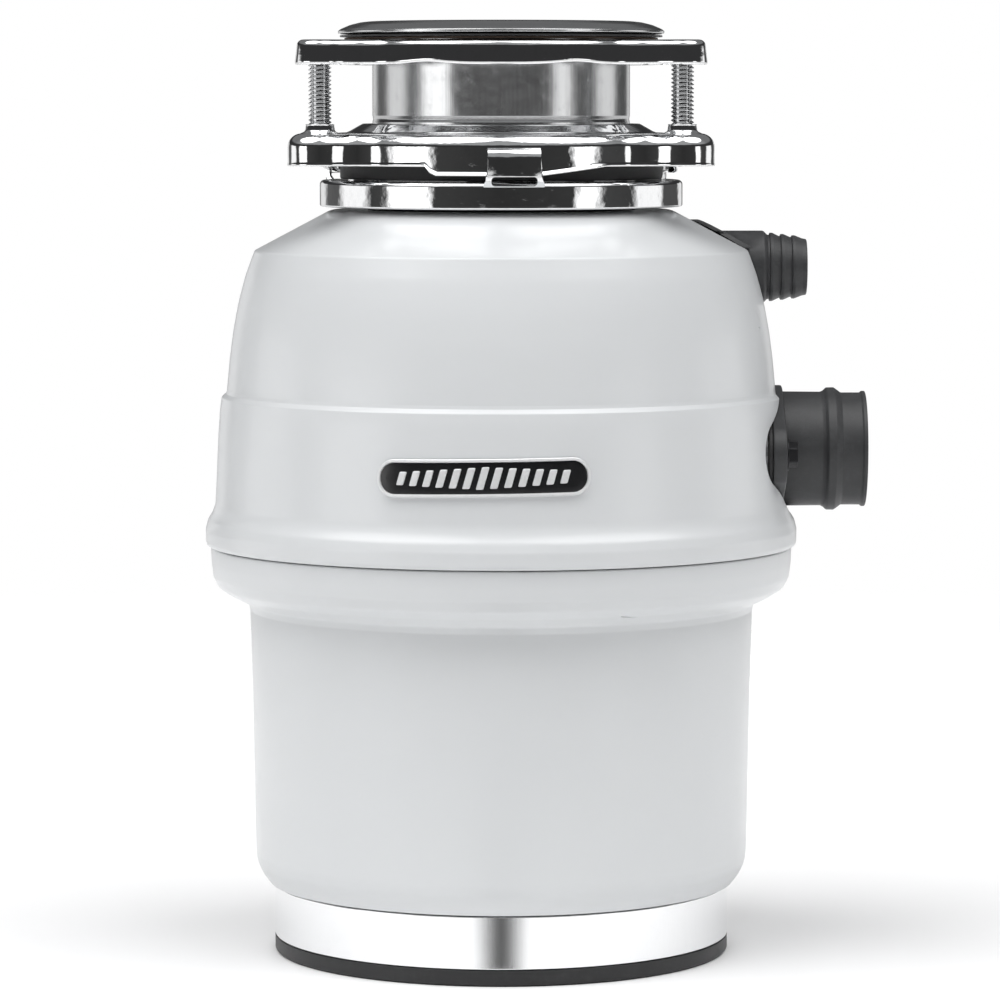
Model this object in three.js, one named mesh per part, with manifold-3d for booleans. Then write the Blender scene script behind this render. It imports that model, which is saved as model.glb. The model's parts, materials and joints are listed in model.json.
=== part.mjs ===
// Kitchen garbage disposal with its three-bolt sink mount, as separate pieces.
// Millimetres, +Z up. The origin is the middle of the flat underside of the base plate.
// +X points along the drain outlet and -Y is the front, with the badge.

import * as THREE from 'three';
import { mergeVertices } from 'three/addons/utils/BufferGeometryUtils.js';
import Module from 'manifold-3d';

const wasm = await Module();
wasm.setup();

// ---------------------------------------------------------------- driving dimensions

const CLEARANCE = 0.3; // between pieces that touch on the real object
const ROUND = 24; // sides on a large round piece

const BASE_RADIUS = 78.9; // base plate and trim band
const BASE_FLOOR = 5; // thickness of the base plate
const BASE_HEIGHT = 5.5; // where the trim band starts
const BAND_TOP = 23.9;
const BAND_WALL = 2;

const SHELL_WALL = 2;
const SHELL_TOP_Z = 257.5;

const OUTLET_Z = 174.6; // axis of the drain outlet
const OUTLET_BORE = 17.5; // radius
const OUTLET_TUBE = 19.75; // radius, for a 1 1/2 inch drain fitting
const OUTLET_END_X = 126;
const OUTLET_BOLT_Y = 29;
const OUTLET_FACE_X = 90.6; // machined face on the drain chamber

const INLET_Y = 16; // axis of the dishwasher inlet
const INLET_Z = 237;
const INLET_TUBE = 12.7; // radius
const INLET_BORE = 7.8;
const INLET_BARBS = 3;
const INLET_BARB_PITCH = 3.9;

const SLEEVE_RADIUS = 44.4; // fits a 3 1/2 inch sink opening
const SLEEVE_WALL = 1.6;
const SLEEVE_BOTTOM = 274.2;
const FLANGE_RADIUS = 56.2;
const FLANGE_Z = 317.7; // underside of the sink flange's rim
const FLANGE_TOP = 322;
const SNAP_GROOVE = [283.5, 285.1]; // from and to, along Z

const BOLT_CIRCLE = 70.7; // radius through the three mounting screws
const BOLT_ANGLES = { a: 210, b: 330, c: 90 };
const SCREW_RADIUS = 3.75; // 5/16 inch mounting screw

const MOUNT_RING = { disc: 60.5, ear: 10.9, fillet: 12, wall: 1.8, bottom: 272.9, top: 283.9 };
const BACKUP_RING = { disc: 57, ear: 8.4, fillet: 14, wall: 1.6, bottom: 307.1, top: 315.5 };

const LOCK_RING = { outer: 62.6, inner: 46.4, bottom: 258.6, top: 267.7, wall: 1.8 };
const LUG = { angles: [274, 154, 34], half: 7.6, outer: 64.6, inner: 62.9, lip: 61, top: 279.4 };
const RAMP = { before: 38, after: 24, outer: 62.5, low: 270, high: 275.6, thick: 1.8, skirt: 269.6 };

const NECK_RADIUS = 44.8; // of the hopper's neck
const HOPPER_WALL = 1.8;
const HOPPER_FOOT = 201; // underside of the hopper's lower flange
const CHAMBER_TOP = 199.2; // top face of the drain chamber
const BODY_FLANGE = 81.5; // radius of the flanges that the clamp band holds

const TURNTABLE = { radius: 65.6, bottom: 205, top: 208, hub: 12 };
const IMPELLER_PIN = 42; // radius from the shaft to an impeller's pin
const RIVET_RADIUS = 3.9;

const SHAFT_RADIUS = 6;
const SHAFT_STEP = 198.8; // where the shaft narrows to carry the turntable
const STATOR = { outer: 68, bore: 40.4, slot: 52, slots: 12, bottom: 52, top: 100 };
const STATOR_BOLT_CIRCLE = 62;
const STATOR_BOLT_ANGLES = [45, 135, 225, 315];
const STATOR_BOLT_END = 114;

const RESET = { x: 30, y: -45, radius: 6.2, well: 6.6 };
const CABLE_ENTRY = { x: -30, y: -38, radius: 11.1 };
const WIRING = { x: -38, y: 24, width: 44, depth: 30, ledge: 7, recess: 3.2 };
const BASE_SCREW_CIRCLE = 66;

// Outside of the upper shell, from the top opening down to the seam, as [radius, z].
const UPPER_OUTSIDE = [
  [58, 257.5],
  [62.3, 256.5],
  [83.5, 244.5],
  [86, 242.3],
  [88, 235.9],
  [90.6, 226.7],
  [92.7, 215.3],
  [94.8, 195.5],
  [95.2, 194],
  [96.6, 192.7],
  [97.9, 180.3],
  [99.1, 155.1],
  [100.1, 152.8],
  [102.5, 147.9],
  [102.3, 142],
];

// Outside of the lower shell, from the seam down to the trim band.
const LOWER_OUTSIDE = [
  [100.6, 141.4],
  [100.4, 135.8],
  [99.8, 130.8],
  [98.3, 127.6],
  [94.1, 124.8],
  [87.7, 121.9],
  [87, 117],
  [86.4, 93.2],
  [85.6, 44.4],
  [85.2, 33],
  [83.3, 27.7],
  [80.5, 24.3],
];

// ---------------------------------------------------------------- geometry helpers

const radians = THREE.MathUtils.degToRad;

function polar(radius, degrees) {
  return [radius * Math.cos(radians(degrees)), radius * Math.sin(radians(degrees))];
}

// Welds a geometry's vertices, drops slivers and turns its faces outwards.
function welded(geometry) {
  const bare = geometry.clone();
  bare.deleteAttribute('normal');
  bare.deleteAttribute('uv');
  const merged = mergeVertices(bare, 1e-4);
  const place = merged.attributes.position;
  const corners = [];
  let volume = 0;
  const a = new THREE.Vector3();
  const b = new THREE.Vector3();
  const c = new THREE.Vector3();
  for (let i = 0; i < merged.index.count; i += 3) {
    const [p, q, r] = [0, 1, 2].map((k) => merged.index.getX(i + k));
    if (p === q || q === r || r === p) continue;
    a.fromBufferAttribute(place, p);
    b.fromBufferAttribute(place, q);
    c.fromBufferAttribute(place, r);
    volume += a.dot(b.cross(c));
    corners.push(p, q, r);
  }
  if (volume < 0) corners.reverse();
  merged.setIndex(corners);
  return merged;
}

function toSolid(geometry) {
  const mesh = welded(geometry);
  return new wasm.Manifold(
    new wasm.Mesh({
      numProp: 3,
      vertProperties: Float32Array.from(mesh.attributes.position.array),
      triVerts: Uint32Array.from(mesh.index.array),
    }),
  );
}

function toGeometry(solid) {
  const mesh = solid.getMesh();
  const geometry = new THREE.BufferGeometry();
  geometry.setAttribute('position', new THREE.BufferAttribute(mesh.vertProperties, 3));
  geometry.setIndex(new THREE.BufferAttribute(mesh.triVerts, 1));
  return geometry;
}

function cut(body, ...tools) {
  const left = tools.reduce((solid, tool) => solid.subtract(toSolid(tool)), toSolid(body));
  return toGeometry(left);
}

function join(...pieces) {
  const [first, ...rest] = pieces;
  return toGeometry(rest.reduce((solid, piece) => solid.add(toSolid(piece)), toSolid(first)));
}

function common(body, tool) {
  return toGeometry(toSolid(body).intersect(toSolid(tool)));
}

// A solid of revolution about Z. A profile that doesn't touch the axis closes on itself.
function turned(profile, segments = ROUND) {
  const points = profile.map(([r, z]) => new THREE.Vector2(r, z));
  if (profile[0][0] > 0) points.push(points[0].clone());
  return new THREE.LatheGeometry(points, segments).rotateX(Math.PI / 2);
}

function ring(inner, outer, bottom, top, segments) {
  return turned(
    [
      [inner, bottom],
      [outer, bottom],
      [outer, top],
      [inner, top],
    ],
    segments,
  );
}

function rod(radius, bottom, top, segments = 12) {
  const geometry = new THREE.CylinderGeometry(radius, radius, top - bottom, segments);
  return geometry.rotateX(Math.PI / 2).translate(0, 0, (bottom + top) / 2);
}

// Each arc of the shape gets the given number of sides.
function slab(shape, bottom, top, sides) {
  const settings = { depth: top - bottom, bevelEnabled: false, curveSegments: sides / 2 };
  return new THREE.ExtrudeGeometry(shape, settings).translate(0, 0, bottom);
}

// Lays a piece made along Z so that it runs along X, on an axis at the given y and z.
function alongX(geometry, y, z) {
  return geometry.rotateY(Math.PI / 2).translate(0, y, z);
}

function box(width, depth, bottom, top) {
  return new THREE.BoxGeometry(width, depth, top - bottom).translate(0, 0, (bottom + top) / 2);
}

function roundedRectangle(width, depth, radius) {
  const [x, y] = [width / 2 - radius, depth / 2 - radius];
  const shape = new THREE.Shape();
  shape.absarc(x, y, radius, 0, Math.PI / 2, false);
  shape.absarc(-x, y, radius, Math.PI / 2, Math.PI, false);
  shape.absarc(-x, -y, radius, Math.PI, 1.5 * Math.PI, false);
  shape.absarc(x, -y, radius, 1.5 * Math.PI, 2 * Math.PI, false);
  return shape;
}

function sector(inner, outer, fromDegrees, toDegrees) {
  const [from, to] = [radians(fromDegrees), radians(toDegrees)];
  const shape = new THREE.Shape();
  shape.absarc(0, 0, outer, from, to, false);
  shape.absarc(0, 0, inner, to, from, true);
  return shape;
}

// A profile moved outwards by a distance, each point along its own averaged normal.
function grown(profile, distance) {
  return profile.map(([r, z], i) => {
    const [r0, z0] = profile[Math.max(i - 1, 0)];
    const [r1, z1] = profile[Math.min(i + 1, profile.length - 1)];
    const length = Math.hypot(r1 - r0, z1 - z0);
    return [r + (distance * (z0 - z1)) / length, z + (distance * (r1 - r0)) / length];
  });
}

// Everything inside an outside profile, as one filled solid.
function filled(profile, segments = ROUND) {
  const top = profile[0];
  const bottom = profile[profile.length - 1];
  return turned([[0, top[1]], ...profile, [0, bottom[1]]], segments);
}

// A shell between an outside profile and a plainer inside one, moved in by the wall.
function skin(profile, wall, segments) {
  const last = profile.length - 1;
  const inside = grown(profile, -wall).filter((_, i) => i % 2 === 0 || i === last);
  return turned([...profile, ...inside.reverse()], segments);
}

// ---------------------------------------------------------------- finishes

function finish(color, roughness, metalness) {
  return new THREE.MeshStandardMaterial({ color, roughness, metalness });
}

const FINISH = {
  whiteShell: finish(0xe2e4e6, 0.38, 0),
  blackPlastic: finish(0x2b2c2e, 0.5, 0),
  rubber: finish(0x1a1a1b, 0.75, 0),
  chrome: finish(0xd8dadc, 0.08, 1),
  brushedSteel: finish(0xb9bbbd, 0.32, 1),
  castAluminium: finish(0xa7a9ab, 0.55, 0.9),
  steel: finish(0x9a9da1, 0.35, 1),
  laminations: finish(0x6b6d72, 0.5, 0.9),
  copper: finish(0xb46a3c, 0.4, 0.9),
  foam: finish(0x3c3d40, 0.95, 0),
  fibre: finish(0x6e4a38, 0.9, 0),
  redPlastic: finish(0xb81f1c, 0.4, 0),
  greyPlastic: finish(0x77797c, 0.55, 0),
};

const disposal = new THREE.Group();

function add(name, geometry, material, parent = disposal) {
  const mesh = new THREE.Mesh(welded(geometry), material);
  mesh.name = name;
  parent.add(mesh);
  return mesh;
}

// ---------------------------------------------------------------- sink mount

function sinkFlange() {
  const inner = SLEEVE_RADIUS - SLEEVE_WALL;
  const [grooveBottom, grooveTop] = SNAP_GROOVE;
  const grooveRadius = SLEEVE_RADIUS - 0.8;
  return turned([
    [inner, SLEEVE_BOTTOM],
    [SLEEVE_RADIUS, SLEEVE_BOTTOM],
    [SLEEVE_RADIUS, grooveBottom],
    [grooveRadius, grooveBottom],
    [grooveRadius, grooveTop],
    [SLEEVE_RADIUS, grooveTop],
    [SLEEVE_RADIUS, FLANGE_Z],
    [FLANGE_RADIUS, FLANGE_Z],
    [FLANGE_RADIUS, FLANGE_Z + 1.1],
    [50, 320.9],
    [45.8, FLANGE_TOP],
    [44.2, FLANGE_TOP],
    [inner, 320.4],
  ]);
}

// The outline of a stamped ring: a disc with three ears, joined by hollow fillets.
function earedOutline(disc, ear, fillet) {
  const reachDisc = disc + fillet;
  const reachEar = ear + fillet;
  const cosine = (BOLT_CIRCLE ** 2 + reachDisc ** 2 - reachEar ** 2) / (2 * BOLT_CIRCLE * reachDisc);
  const swing = Math.acos(cosine);
  const shape = new THREE.Shape();
  for (const degrees of [90, 210, 330]) {
    const aim = radians(degrees);
    const centre = [BOLT_CIRCLE * Math.cos(aim), BOLT_CIRCLE * Math.sin(aim)];
    const before = [reachDisc * Math.cos(aim - swing), reachDisc * Math.sin(aim - swing)];
    const after = [reachDisc * Math.cos(aim + swing), reachDisc * Math.sin(aim + swing)];
    const toBefore = Math.atan2(before[1] - centre[1], before[0] - centre[0]);
    const toAfter = Math.atan2(after[1] - centre[1], after[0] - centre[0]);
    shape.absarc(...before, fillet, aim - swing + Math.PI, toBefore + Math.PI, true);
    shape.absarc(...centre, ear, toBefore, toAfter, false);
    shape.absarc(...after, fillet, toAfter + Math.PI, aim + swing + Math.PI, true);
    const next = aim + radians(120) - swing;
    shape.absarc(0, 0, disc, aim + swing, next, false);
  }
  return shape;
}

// A stamped ring with ears: a flat top with a skirt turned down all the way round.
function earedRing({ disc, ear, fillet, wall, bottom, top }, bore) {
  const outside = slab(earedOutline(disc, ear, fillet), bottom, top, 6);
  const hollow = slab(earedOutline(disc - wall, ear - wall, fillet + wall), bottom - 1, top - wall, 6);
  return cut(outside, hollow, rod(bore, bottom - 1, top + 1, ROUND));
}

function backupRing() {
  return earedRing(BACKUP_RING, SLEEVE_RADIUS + 0.8);
}

// One of the three sloping flanges that the lock ring's lugs ride up.
function ramp(lugAngle) {
  const from = lugAngle - RAMP.before;
  const to = lugAngle + RAMP.after;
  const flange = slab(sector(59, RAMP.outer, from, to), RAMP.low, RAMP.low + RAMP.thick, 6);
  const place = flange.attributes.position;
  const start = radians(from);
  const slope = (RAMP.high - RAMP.low) / radians(to - from);
  for (let i = 0; i < place.count; i += 1) {
    const angle = Math.atan2(place.getY(i), place.getX(i)) - start;
    const past = THREE.MathUtils.euclideanModulo(angle + 1, 2 * Math.PI) - 1;
    place.setZ(i, place.getZ(i) + slope * past);
  }
  const { disc, wall, bottom } = MOUNT_RING;
  return join(flange, slab(sector(disc - wall, disc, from, to), RAMP.skirt, bottom + 1, 6));
}

function mountingRing() {
  const { wall, top } = MOUNT_RING;
  const collar = turned([
    [45.6, 285.2],
    [47.6, 285.2],
    [51.5, top - wall],
    [53.2, top - wall],
    [53.2, top],
    [48.2, 287],
    [45.6, 287],
  ]);
  const threads = Object.values(BOLT_ANGLES).map((angle) => {
    const [x, y] = polar(BOLT_CIRCLE, angle);
    return rod(4.8, top - wall + 0.2, top + 3.1).translate(x, y, 0);
  });
  const holes = Object.values(BOLT_ANGLES).map((angle) => {
    const [x, y] = polar(BOLT_CIRCLE, angle);
    return rod(SCREW_RADIUS + CLEARANCE, top - 5, top + 5).translate(x, y, 0);
  });
  const body = join(earedRing(MOUNT_RING, 52.4), collar, ...threads, ...LUG.angles.map(ramp));
  return cut(body, ...holes);
}

function snapRing() {
  const [bottom, top] = SNAP_GROOVE;
  return slab(sector(44, 46.2, 66, 414), bottom + 0.15, top - 0.2, ROUND);
}

function clampScrew() {
  const head = rod(6.4, 275.2, 280.8);
  const slot = box(14, 1.6, 274, 277);
  const tip = BACKUP_RING.top - BACKUP_RING.wall - CLEARANCE;
  return cut(join(head, rod(SCREW_RADIUS, 280, tip)), slot);
}

// The rubber mounting gasket that caps the hopper's lip, with the splash flaps in its throat.
function splashGuard() {
  const body = turned([
    [13, 256.6],
    [41, 262],
    [42.6, 262],
    [42.6, 270.3],
    [53.9, 270.3],
    [53.9, 268.1],
    [55.6, 268.1],
    [55.6, 273.9],
    [40.6, 273.9],
    [40.6, 264],
    [13, 258.6],
  ]);
  const slits = [0, 60, 120].map((angle) => box(68, 1, 250, 266).rotateZ(radians(angle)));
  return cut(body, ...slits);
}

function lockRing() {
  const { outer, inner, bottom, top, wall } = LOCK_RING;
  const body = turned([
    [outer - wall, bottom],
    [outer, bottom],
    [outer, top - 1.5],
    [outer - 1.5, top],
    [inner, top],
    [inner, top - wall],
    [outer - wall, top - wall],
  ]);
  const lugs = LUG.angles.flatMap((angle) => [
    slab(sector(outer - 1, LUG.outer, angle - LUG.half, angle + LUG.half), 261.5, 267, 2),
    slab(sector(LUG.inner, LUG.outer, angle - LUG.half, angle + LUG.half), 266.5, LUG.top, 2),
    slab(sector(LUG.lip, LUG.outer, angle - LUG.half, angle + LUG.half), LUG.top - 1.6, LUG.top, 2),
  ]);
  const toolSlots = LUG.angles.map((angle) => slab(sector(62, 66, angle - 5, angle + 5), 268.3, 272.5, 2));
  return cut(join(body, ...lugs), ...toolSlots);
}

function buildSinkMount() {
  add('sink_flange', sinkFlange(), FINISH.brushedSteel);
  const sealTop = FLANGE_Z - CLEARANCE - 0.1;
  add('flange_seal', ring(SLEEVE_RADIUS + 0.6, 55.6, sealTop - 0.6, sealTop), FINISH.rubber);
  const fibreBottom = BACKUP_RING.top + CLEARANCE;
  add('fibre_gasket', ring(SLEEVE_RADIUS + 0.8, 54, fibreBottom, fibreBottom + 0.6), FINISH.fibre);
  add('backup_ring', backupRing(), FINISH.chrome);
  for (const [letter, angle] of Object.entries(BOLT_ANGLES)) {
    const screw = add(`clamp_screw_${letter}`, clampScrew(), FINISH.steel);
    screw.position.set(...polar(BOLT_CIRCLE, angle), 0);
  }
  add('mounting_ring', mountingRing(), FINISH.chrome);
  add('snap_ring', snapRing(), FINISH.steel);
  add('splash_guard', splashGuard(), FINISH.rubber);
  add('lock_ring', lockRing(), FINISH.chrome);
}

// ---------------------------------------------------------------- outer shells and base

// The two-bolt flange shape of the outlet, lying across X, as a shape in local x (down) and y.
function outletOutline(middle, end, reach) {
  const lean = Math.acos((middle - end) / reach);
  const shape = new THREE.Shape();
  shape.absarc(0, reach, end, Math.PI / 2 - lean, Math.PI / 2 + lean, false);
  shape.absarc(0, 0, middle, Math.PI / 2 + lean, 1.5 * Math.PI - lean, false);
  shape.absarc(0, -reach, end, 1.5 * Math.PI - lean, 1.5 * Math.PI + lean, false);
  shape.absarc(0, 0, middle, 1.5 * Math.PI + lean, 2.5 * Math.PI - lean, false);
  return shape;
}

function outletPlate(middle, end, fromX, toX) {
  return alongX(slab(outletOutline(middle, end, OUTLET_BOLT_Y), fromX, toX, 6), 0, OUTLET_Z);
}

function inletRod(radius, fromX, toX, segments = 16) {
  return alongX(rod(radius, fromX, toX, segments), INLET_Y, INLET_Z);
}

function upperShell() {
  const rim = [46.4, SHELL_TOP_Z];
  const body = skin([rim, ...UPPER_OUTSIDE], SHELL_WALL);
  return cut(body, outletPlate(22.6, 11, 70, 115), inletRod(INLET_TUBE + 0.4, 55, 115));
}

function lowerShell() {
  return skin(LOWER_OUTSIDE, SHELL_WALL);
}

function badgePlate() {
  const plate = slab(roundedRectangle(71, 12.6, 6), 80, 110, 4).rotateZ(radians(0.9));
  plate.rotateX(Math.PI / 2).translate(-6, 0, 172);
  const layer = cut(
    filled(grown(UPPER_OUTSIDE, 1.5), 48),
    filled(grown(UPPER_OUTSIDE, CLEARANCE + 0.1), 48),
  );
  return common(layer, plate);
}

function basePlate() {
  const body = turned([
    [0, 0],
    [BASE_RADIUS - 0.8, 0],
    [BASE_RADIUS, 0.8],
    [BASE_RADIUS, BASE_HEIGHT],
    [76.4, BASE_HEIGHT],
    [76.4, 9],
    [74.4, 9],
    [74.4, BASE_FLOOR],
    [0, BASE_FLOOR],
  ]);
  const well = rod(RESET.well + 2, BASE_FLOOR - 1, 12.6).translate(RESET.x, RESET.y, 0);
  const wellHole = rod(RESET.well, -1, 13).translate(RESET.x, RESET.y, 0);
  const entry = rod(CABLE_ENTRY.radius, -1, 8, 16).translate(CABLE_ENTRY.x, CABLE_ENTRY.y, 0);
  const entryRecess = rod(14.2, -1, 1.9, 16).translate(CABLE_ENTRY.x, CABLE_ENTRY.y, 0);
  const { x, y, width, depth, ledge, recess } = WIRING;
  const pocket = slab(roundedRectangle(width, depth, 4), -1, recess, 4).translate(x, y, 0);
  const access = roundedRectangle(width - 2 * ledge, depth - 2 * ledge, 3);
  const opening = slab(access, 0, 8, 4).translate(x, y, 0);
  const screwHoles = Object.values(BOLT_ANGLES).flatMap((angle) => {
    const [px, py] = polar(BASE_SCREW_CIRCLE, angle);
    return [rod(4.6, -1, 2.6, 12).translate(px, py, 0), rod(2.3, 0, 8, 8).translate(px, py, 0)];
  });
  const coverHole = rod(1.6, 0, 8, 8).translate(x - width / 2 + 4, y, 0);
  return cut(join(body, well), wellHole, entry, entryRecess, pocket, opening, coverHole, ...screwHoles);
}

function buildShells() {
  add('upper_shell', upperShell(), FINISH.whiteShell);
  add('lower_shell', lowerShell(), FINISH.whiteShell);
  add('badge_plate', badgePlate(), FINISH.blackPlastic);
  const bandBottom = BASE_HEIGHT + CLEARANCE;
  add('trim_band', ring(BASE_RADIUS - BAND_WALL, BASE_RADIUS, bandBottom, BAND_TOP), FINISH.chrome);
  add('base_plate', basePlate(), FINISH.blackPlastic);

  const { x, y, width, depth, recess } = WIRING;
  const screwX = x - width / 2 + 4;
  const cover = slab(roundedRectangle(width - 0.8, depth - 0.8, 3.6), recess - 1.3, recess - CLEARANCE, 4);
  const coverHole = rod(1.7, 0, 8, 8).translate(screwX - x, 0, 0);
  add('wiring_cover', cut(cover, coverHole).translate(x, y, 0), FINISH.steel);
  const coverScrew = join(rod(3.4, 0.4, 1.6, 12), rod(1.3, 1.2, 9, 8));
  add('cover_screw', coverScrew.translate(screwX, y, 0), FINISH.steel);

  const bushing = turned([
    [8, 0.4],
    [13.8, 0.4],
    [13.8, 1.6],
    [CABLE_ENTRY.radius - CLEARANCE, 1.6],
    [CABLE_ENTRY.radius - CLEARANCE, 9.5],
    [8, 9.5],
  ], 16);
  add('cable_bushing', bushing.translate(CABLE_ENTRY.x, CABLE_ENTRY.y, 0), FINISH.rubber);

  for (const [letter, angle] of Object.entries(BOLT_ANGLES)) {
    const screw = add(`base_screw_${letter}`, join(rod(4.2, 0.5, 2.3, 12), rod(1.9, 2, 18, 8)), FINISH.steel);
    screw.position.set(...polar(BASE_SCREW_CIRCLE, angle), 0);
  }
}

// ---------------------------------------------------------------- grinding chamber

// Outside of the hopper, from the lip at the top of its neck down to its lower flange.
const HOPPER_OUTSIDE = [
  [53.6, 270],
  [53.6, 268.3],
  [NECK_RADIUS, 267.9],
  [NECK_RADIUS, 253.6],
  [47.5, 251.4],
  [52, 250],
  [62, 247],
  [69.5, 242],
  [73.6, 235],
  [74.6, 228],
  [74.6, 204],
  [BODY_FLANGE, 202.6],
  [BODY_FLANGE, HOPPER_FOOT],
];

function hopper() {
  const wallTop = 74.6 - HOPPER_WALL;
  const body = turned([
    ...HOPPER_OUTSIDE,
    [wallTop, HOPPER_FOOT],
    [wallTop, 228],
    [71.8, 234.4],
    [68.2, 240.7],
    [61, 245.4],
    [51.4, 248.3],
    [46.2, 249.9],
    [NECK_RADIUS - HOPPER_WALL, 252.8],
    [NECK_RADIUS - HOPPER_WALL, 267.6],
    [46, 270],
  ]);
  return cut(body, inletRod(INLET_BORE + 0.4, 50, 90));
}

function insulationJacket() {
  const body = turned([
    [75.5, 207],
    [90.5, 207],
    [88.6, 218],
    [85.3, 232],
    [82.4, 240],
    [75.5, 240],
  ]);
  return cut(body, inletRod(INLET_TUBE + 0.4, 60, 100));
}

// The shredder ring: a wall with a run of cutting notches round its inside.
function grindRing() {
  const teeth = 24;
  const [outer, crest, root] = [72.2, 66.6, 69.4];
  const shape = new THREE.Shape();
  shape.absarc(0, 0, outer, 0, 2 * Math.PI, false);
  const hole = new THREE.Path();
  for (let i = 0; i < teeth; i += 1) {
    const start = (360 / teeth) * i;
    const corners = [polar(crest, start), polar(crest, start + 8), polar(root, start + 8.6), polar(root, start + 13)];
    corners.forEach(([x, y], k) => (i + k === 0 ? hole.moveTo(x, y) : hole.lineTo(x, y)));
  }
  hole.closePath();
  shape.holes.push(hole);
  return slab(shape, 203, 228, ROUND);
}

function turntable() {
  const { radius, bottom, top, hub } = TURNTABLE;
  const disc = turned([
    [5.3, 199.2],
    [hub, 199.2],
    [hub + 2, bottom],
    [radius - 3, bottom],
    [radius - 3, bottom - 3.5],
    [radius, bottom - 3.5],
    [radius, top - 0.8],
    [radius - 0.8, top],
    [hub, top],
    [hub, top + 1.5],
    [5.3, top + 1.5],
  ]);
  const pinHoles = [0, 180].map((angle) => {
    const [x, y] = polar(IMPELLER_PIN, angle);
    return rod(RIVET_RADIUS + CLEARANCE, 200, 212, 12).translate(x, y, 0);
  });
  const drains = [60, 120, 240, 300].map((angle) => {
    const [x, y] = polar(46, angle);
    return rod(4, 200, 212, 8).translate(x, y, 0);
  });
  return cut(disc, ...pinHoles, ...drains);
}

// A swivelling lug: a flat foot that turns on its pin, with a wall at its outer end.
function impeller() {
  const bottom = TURNTABLE.top + 0.4;
  const foot = slab(roundedRectangle(30, 15, 6), bottom, bottom + 2.6, 4).translate(6, 0, 0);
  const wall = slab(roundedRectangle(4, 13, 1.8), bottom, bottom + 11.5, 2).translate(17.5, 0, 0);
  const brow = slab(roundedRectangle(9, 13, 1.8), bottom + 9.3, bottom + 11.5, 2).translate(15, 0, 0);
  return cut(join(foot, wall, brow), rod(RIVET_RADIUS + 0.4, 200, 215, 12));
}

function impellerRivet() {
  return join(rod(6, 202.7, 204.7, 12), rod(RIVET_RADIUS, 204, 212, 12), rod(6.4, 211.3, 213.4, 12));
}

function drainChamber() {
  const body = turned([
    [15.3, 132],
    [19, 132],
    [19.5, 142],
    [66.5, 145],
    [66.5, STATOR.top + 0.4],
    [70, STATOR.top + 0.4],
    [70, 144],
    [78, 149],
    [79, 153],
    [79, 195],
    [BODY_FLANGE, 196.2],
    [BODY_FLANGE, CHAMBER_TOP],
    [75.5, CHAMBER_TOP],
    [75.5, 157],
    [73, 153.5],
    [22, 151.5],
    [16.5, 158],
    [12.4, 158],
    [12.4, 149.6],
    [7.5, 149.6],
    [7.5, 147.3],
    [15.3, 147.3],
  ]);
  const boss = cut(outletPlate(19, 8.4, 68, OUTLET_FACE_X), rod(76, 140, 210, ROUND));
  const bore = alongX(rod(OUTLET_BORE, 55, 100, ROUND), 0, OUTLET_Z);
  const boltHoles = [-1, 1].map((side) => alongX(rod(2.6, 77.5, 100, 8), side * OUTLET_BOLT_Y, OUTLET_Z));
  const motorBosses = STATOR_BOLT_ANGLES.map((angle) => {
    const [x, y] = polar(STATOR_BOLT_CIRCLE, angle);
    return rod(4.2, STATOR.top + 0.4, 146, 8).translate(x, y, 0);
  });
  const threads = STATOR_BOLT_ANGLES.map((angle) => {
    const [x, y] = polar(STATOR_BOLT_CIRCLE, angle);
    return rod(2.4, STATOR.top - 1, STATOR_BOLT_END + 1, 8).translate(x, y, 0);
  });
  return cut(join(body, boss, ...motorBosses), bore, ...boltHoles, ...threads);
}

function buildGrindingChamber() {
  add('hopper', hopper(), FINISH.brushedSteel);
  add('neck_collar', ring(NECK_RADIUS + CLEARANCE, 46.1, 253.9, 258.3), FINISH.rubber);
  add('insulation_jacket', insulationJacket(), FINISH.foam);
  add('grind_ring', grindRing(), FINISH.steel);
  add('turntable', turntable(), FINISH.steel);
  add('turntable_nut', cut(rod(9.2, 209.8, 214.8, 6), rod(5.3, 209, 216, 16)), FINISH.steel);
  for (const [letter, angle] of Object.entries({ a: 0, b: 180 })) {
    const pivot = new THREE.Group();
    pivot.position.set(...polar(IMPELLER_PIN, angle), 0);
    pivot.rotation.z = radians(angle);
    disposal.add(pivot);
    add(`impeller_${letter}`, impeller(), FINISH.steel, pivot);
    add(`impeller_rivet_${letter}`, impellerRivet(), FINISH.steel, pivot);
  }
  add('drain_chamber', drainChamber(), FINISH.castAluminium);
  add('container_gasket', ring(76, 81, CHAMBER_TOP + CLEARANCE, HOPPER_FOOT - CLEARANCE), FINISH.rubber);
  const clampBand = turned([
    [79.6, 194],
    [83.8, 194.4],
    [83.8, 204.9],
    [78.5, 204.9],
    [78.5, 203.9],
    [82, 203.2],
    [82, 195.9],
    [79.6, 194.9],
  ]);
  add('clamp_band', clampBand, FINISH.steel);
  add('shaft_seal', ring(SHAFT_RADIUS + 0.3, 12.1, 150, 157, 16), FINISH.rubber);
}

// ---------------------------------------------------------------- outlet and inlet

function drainTube() {
  const start = OUTLET_FACE_X + 2;
  const tube = turned([
    [OUTLET_BORE, start],
    [21.5, start],
    [21.5, start + 1.1],
    [OUTLET_TUBE, start + 1.1],
    [OUTLET_TUBE, 111.4],
    [21.2, 112.2],
    [21.2, 116],
    [19.6, 117],
    [19.5, 124.6],
    [20, 125],
    [20, OUTLET_END_X],
    [OUTLET_BORE, OUTLET_END_X],
  ]);
  return alongX(tube, 0, OUTLET_Z);
}

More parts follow.
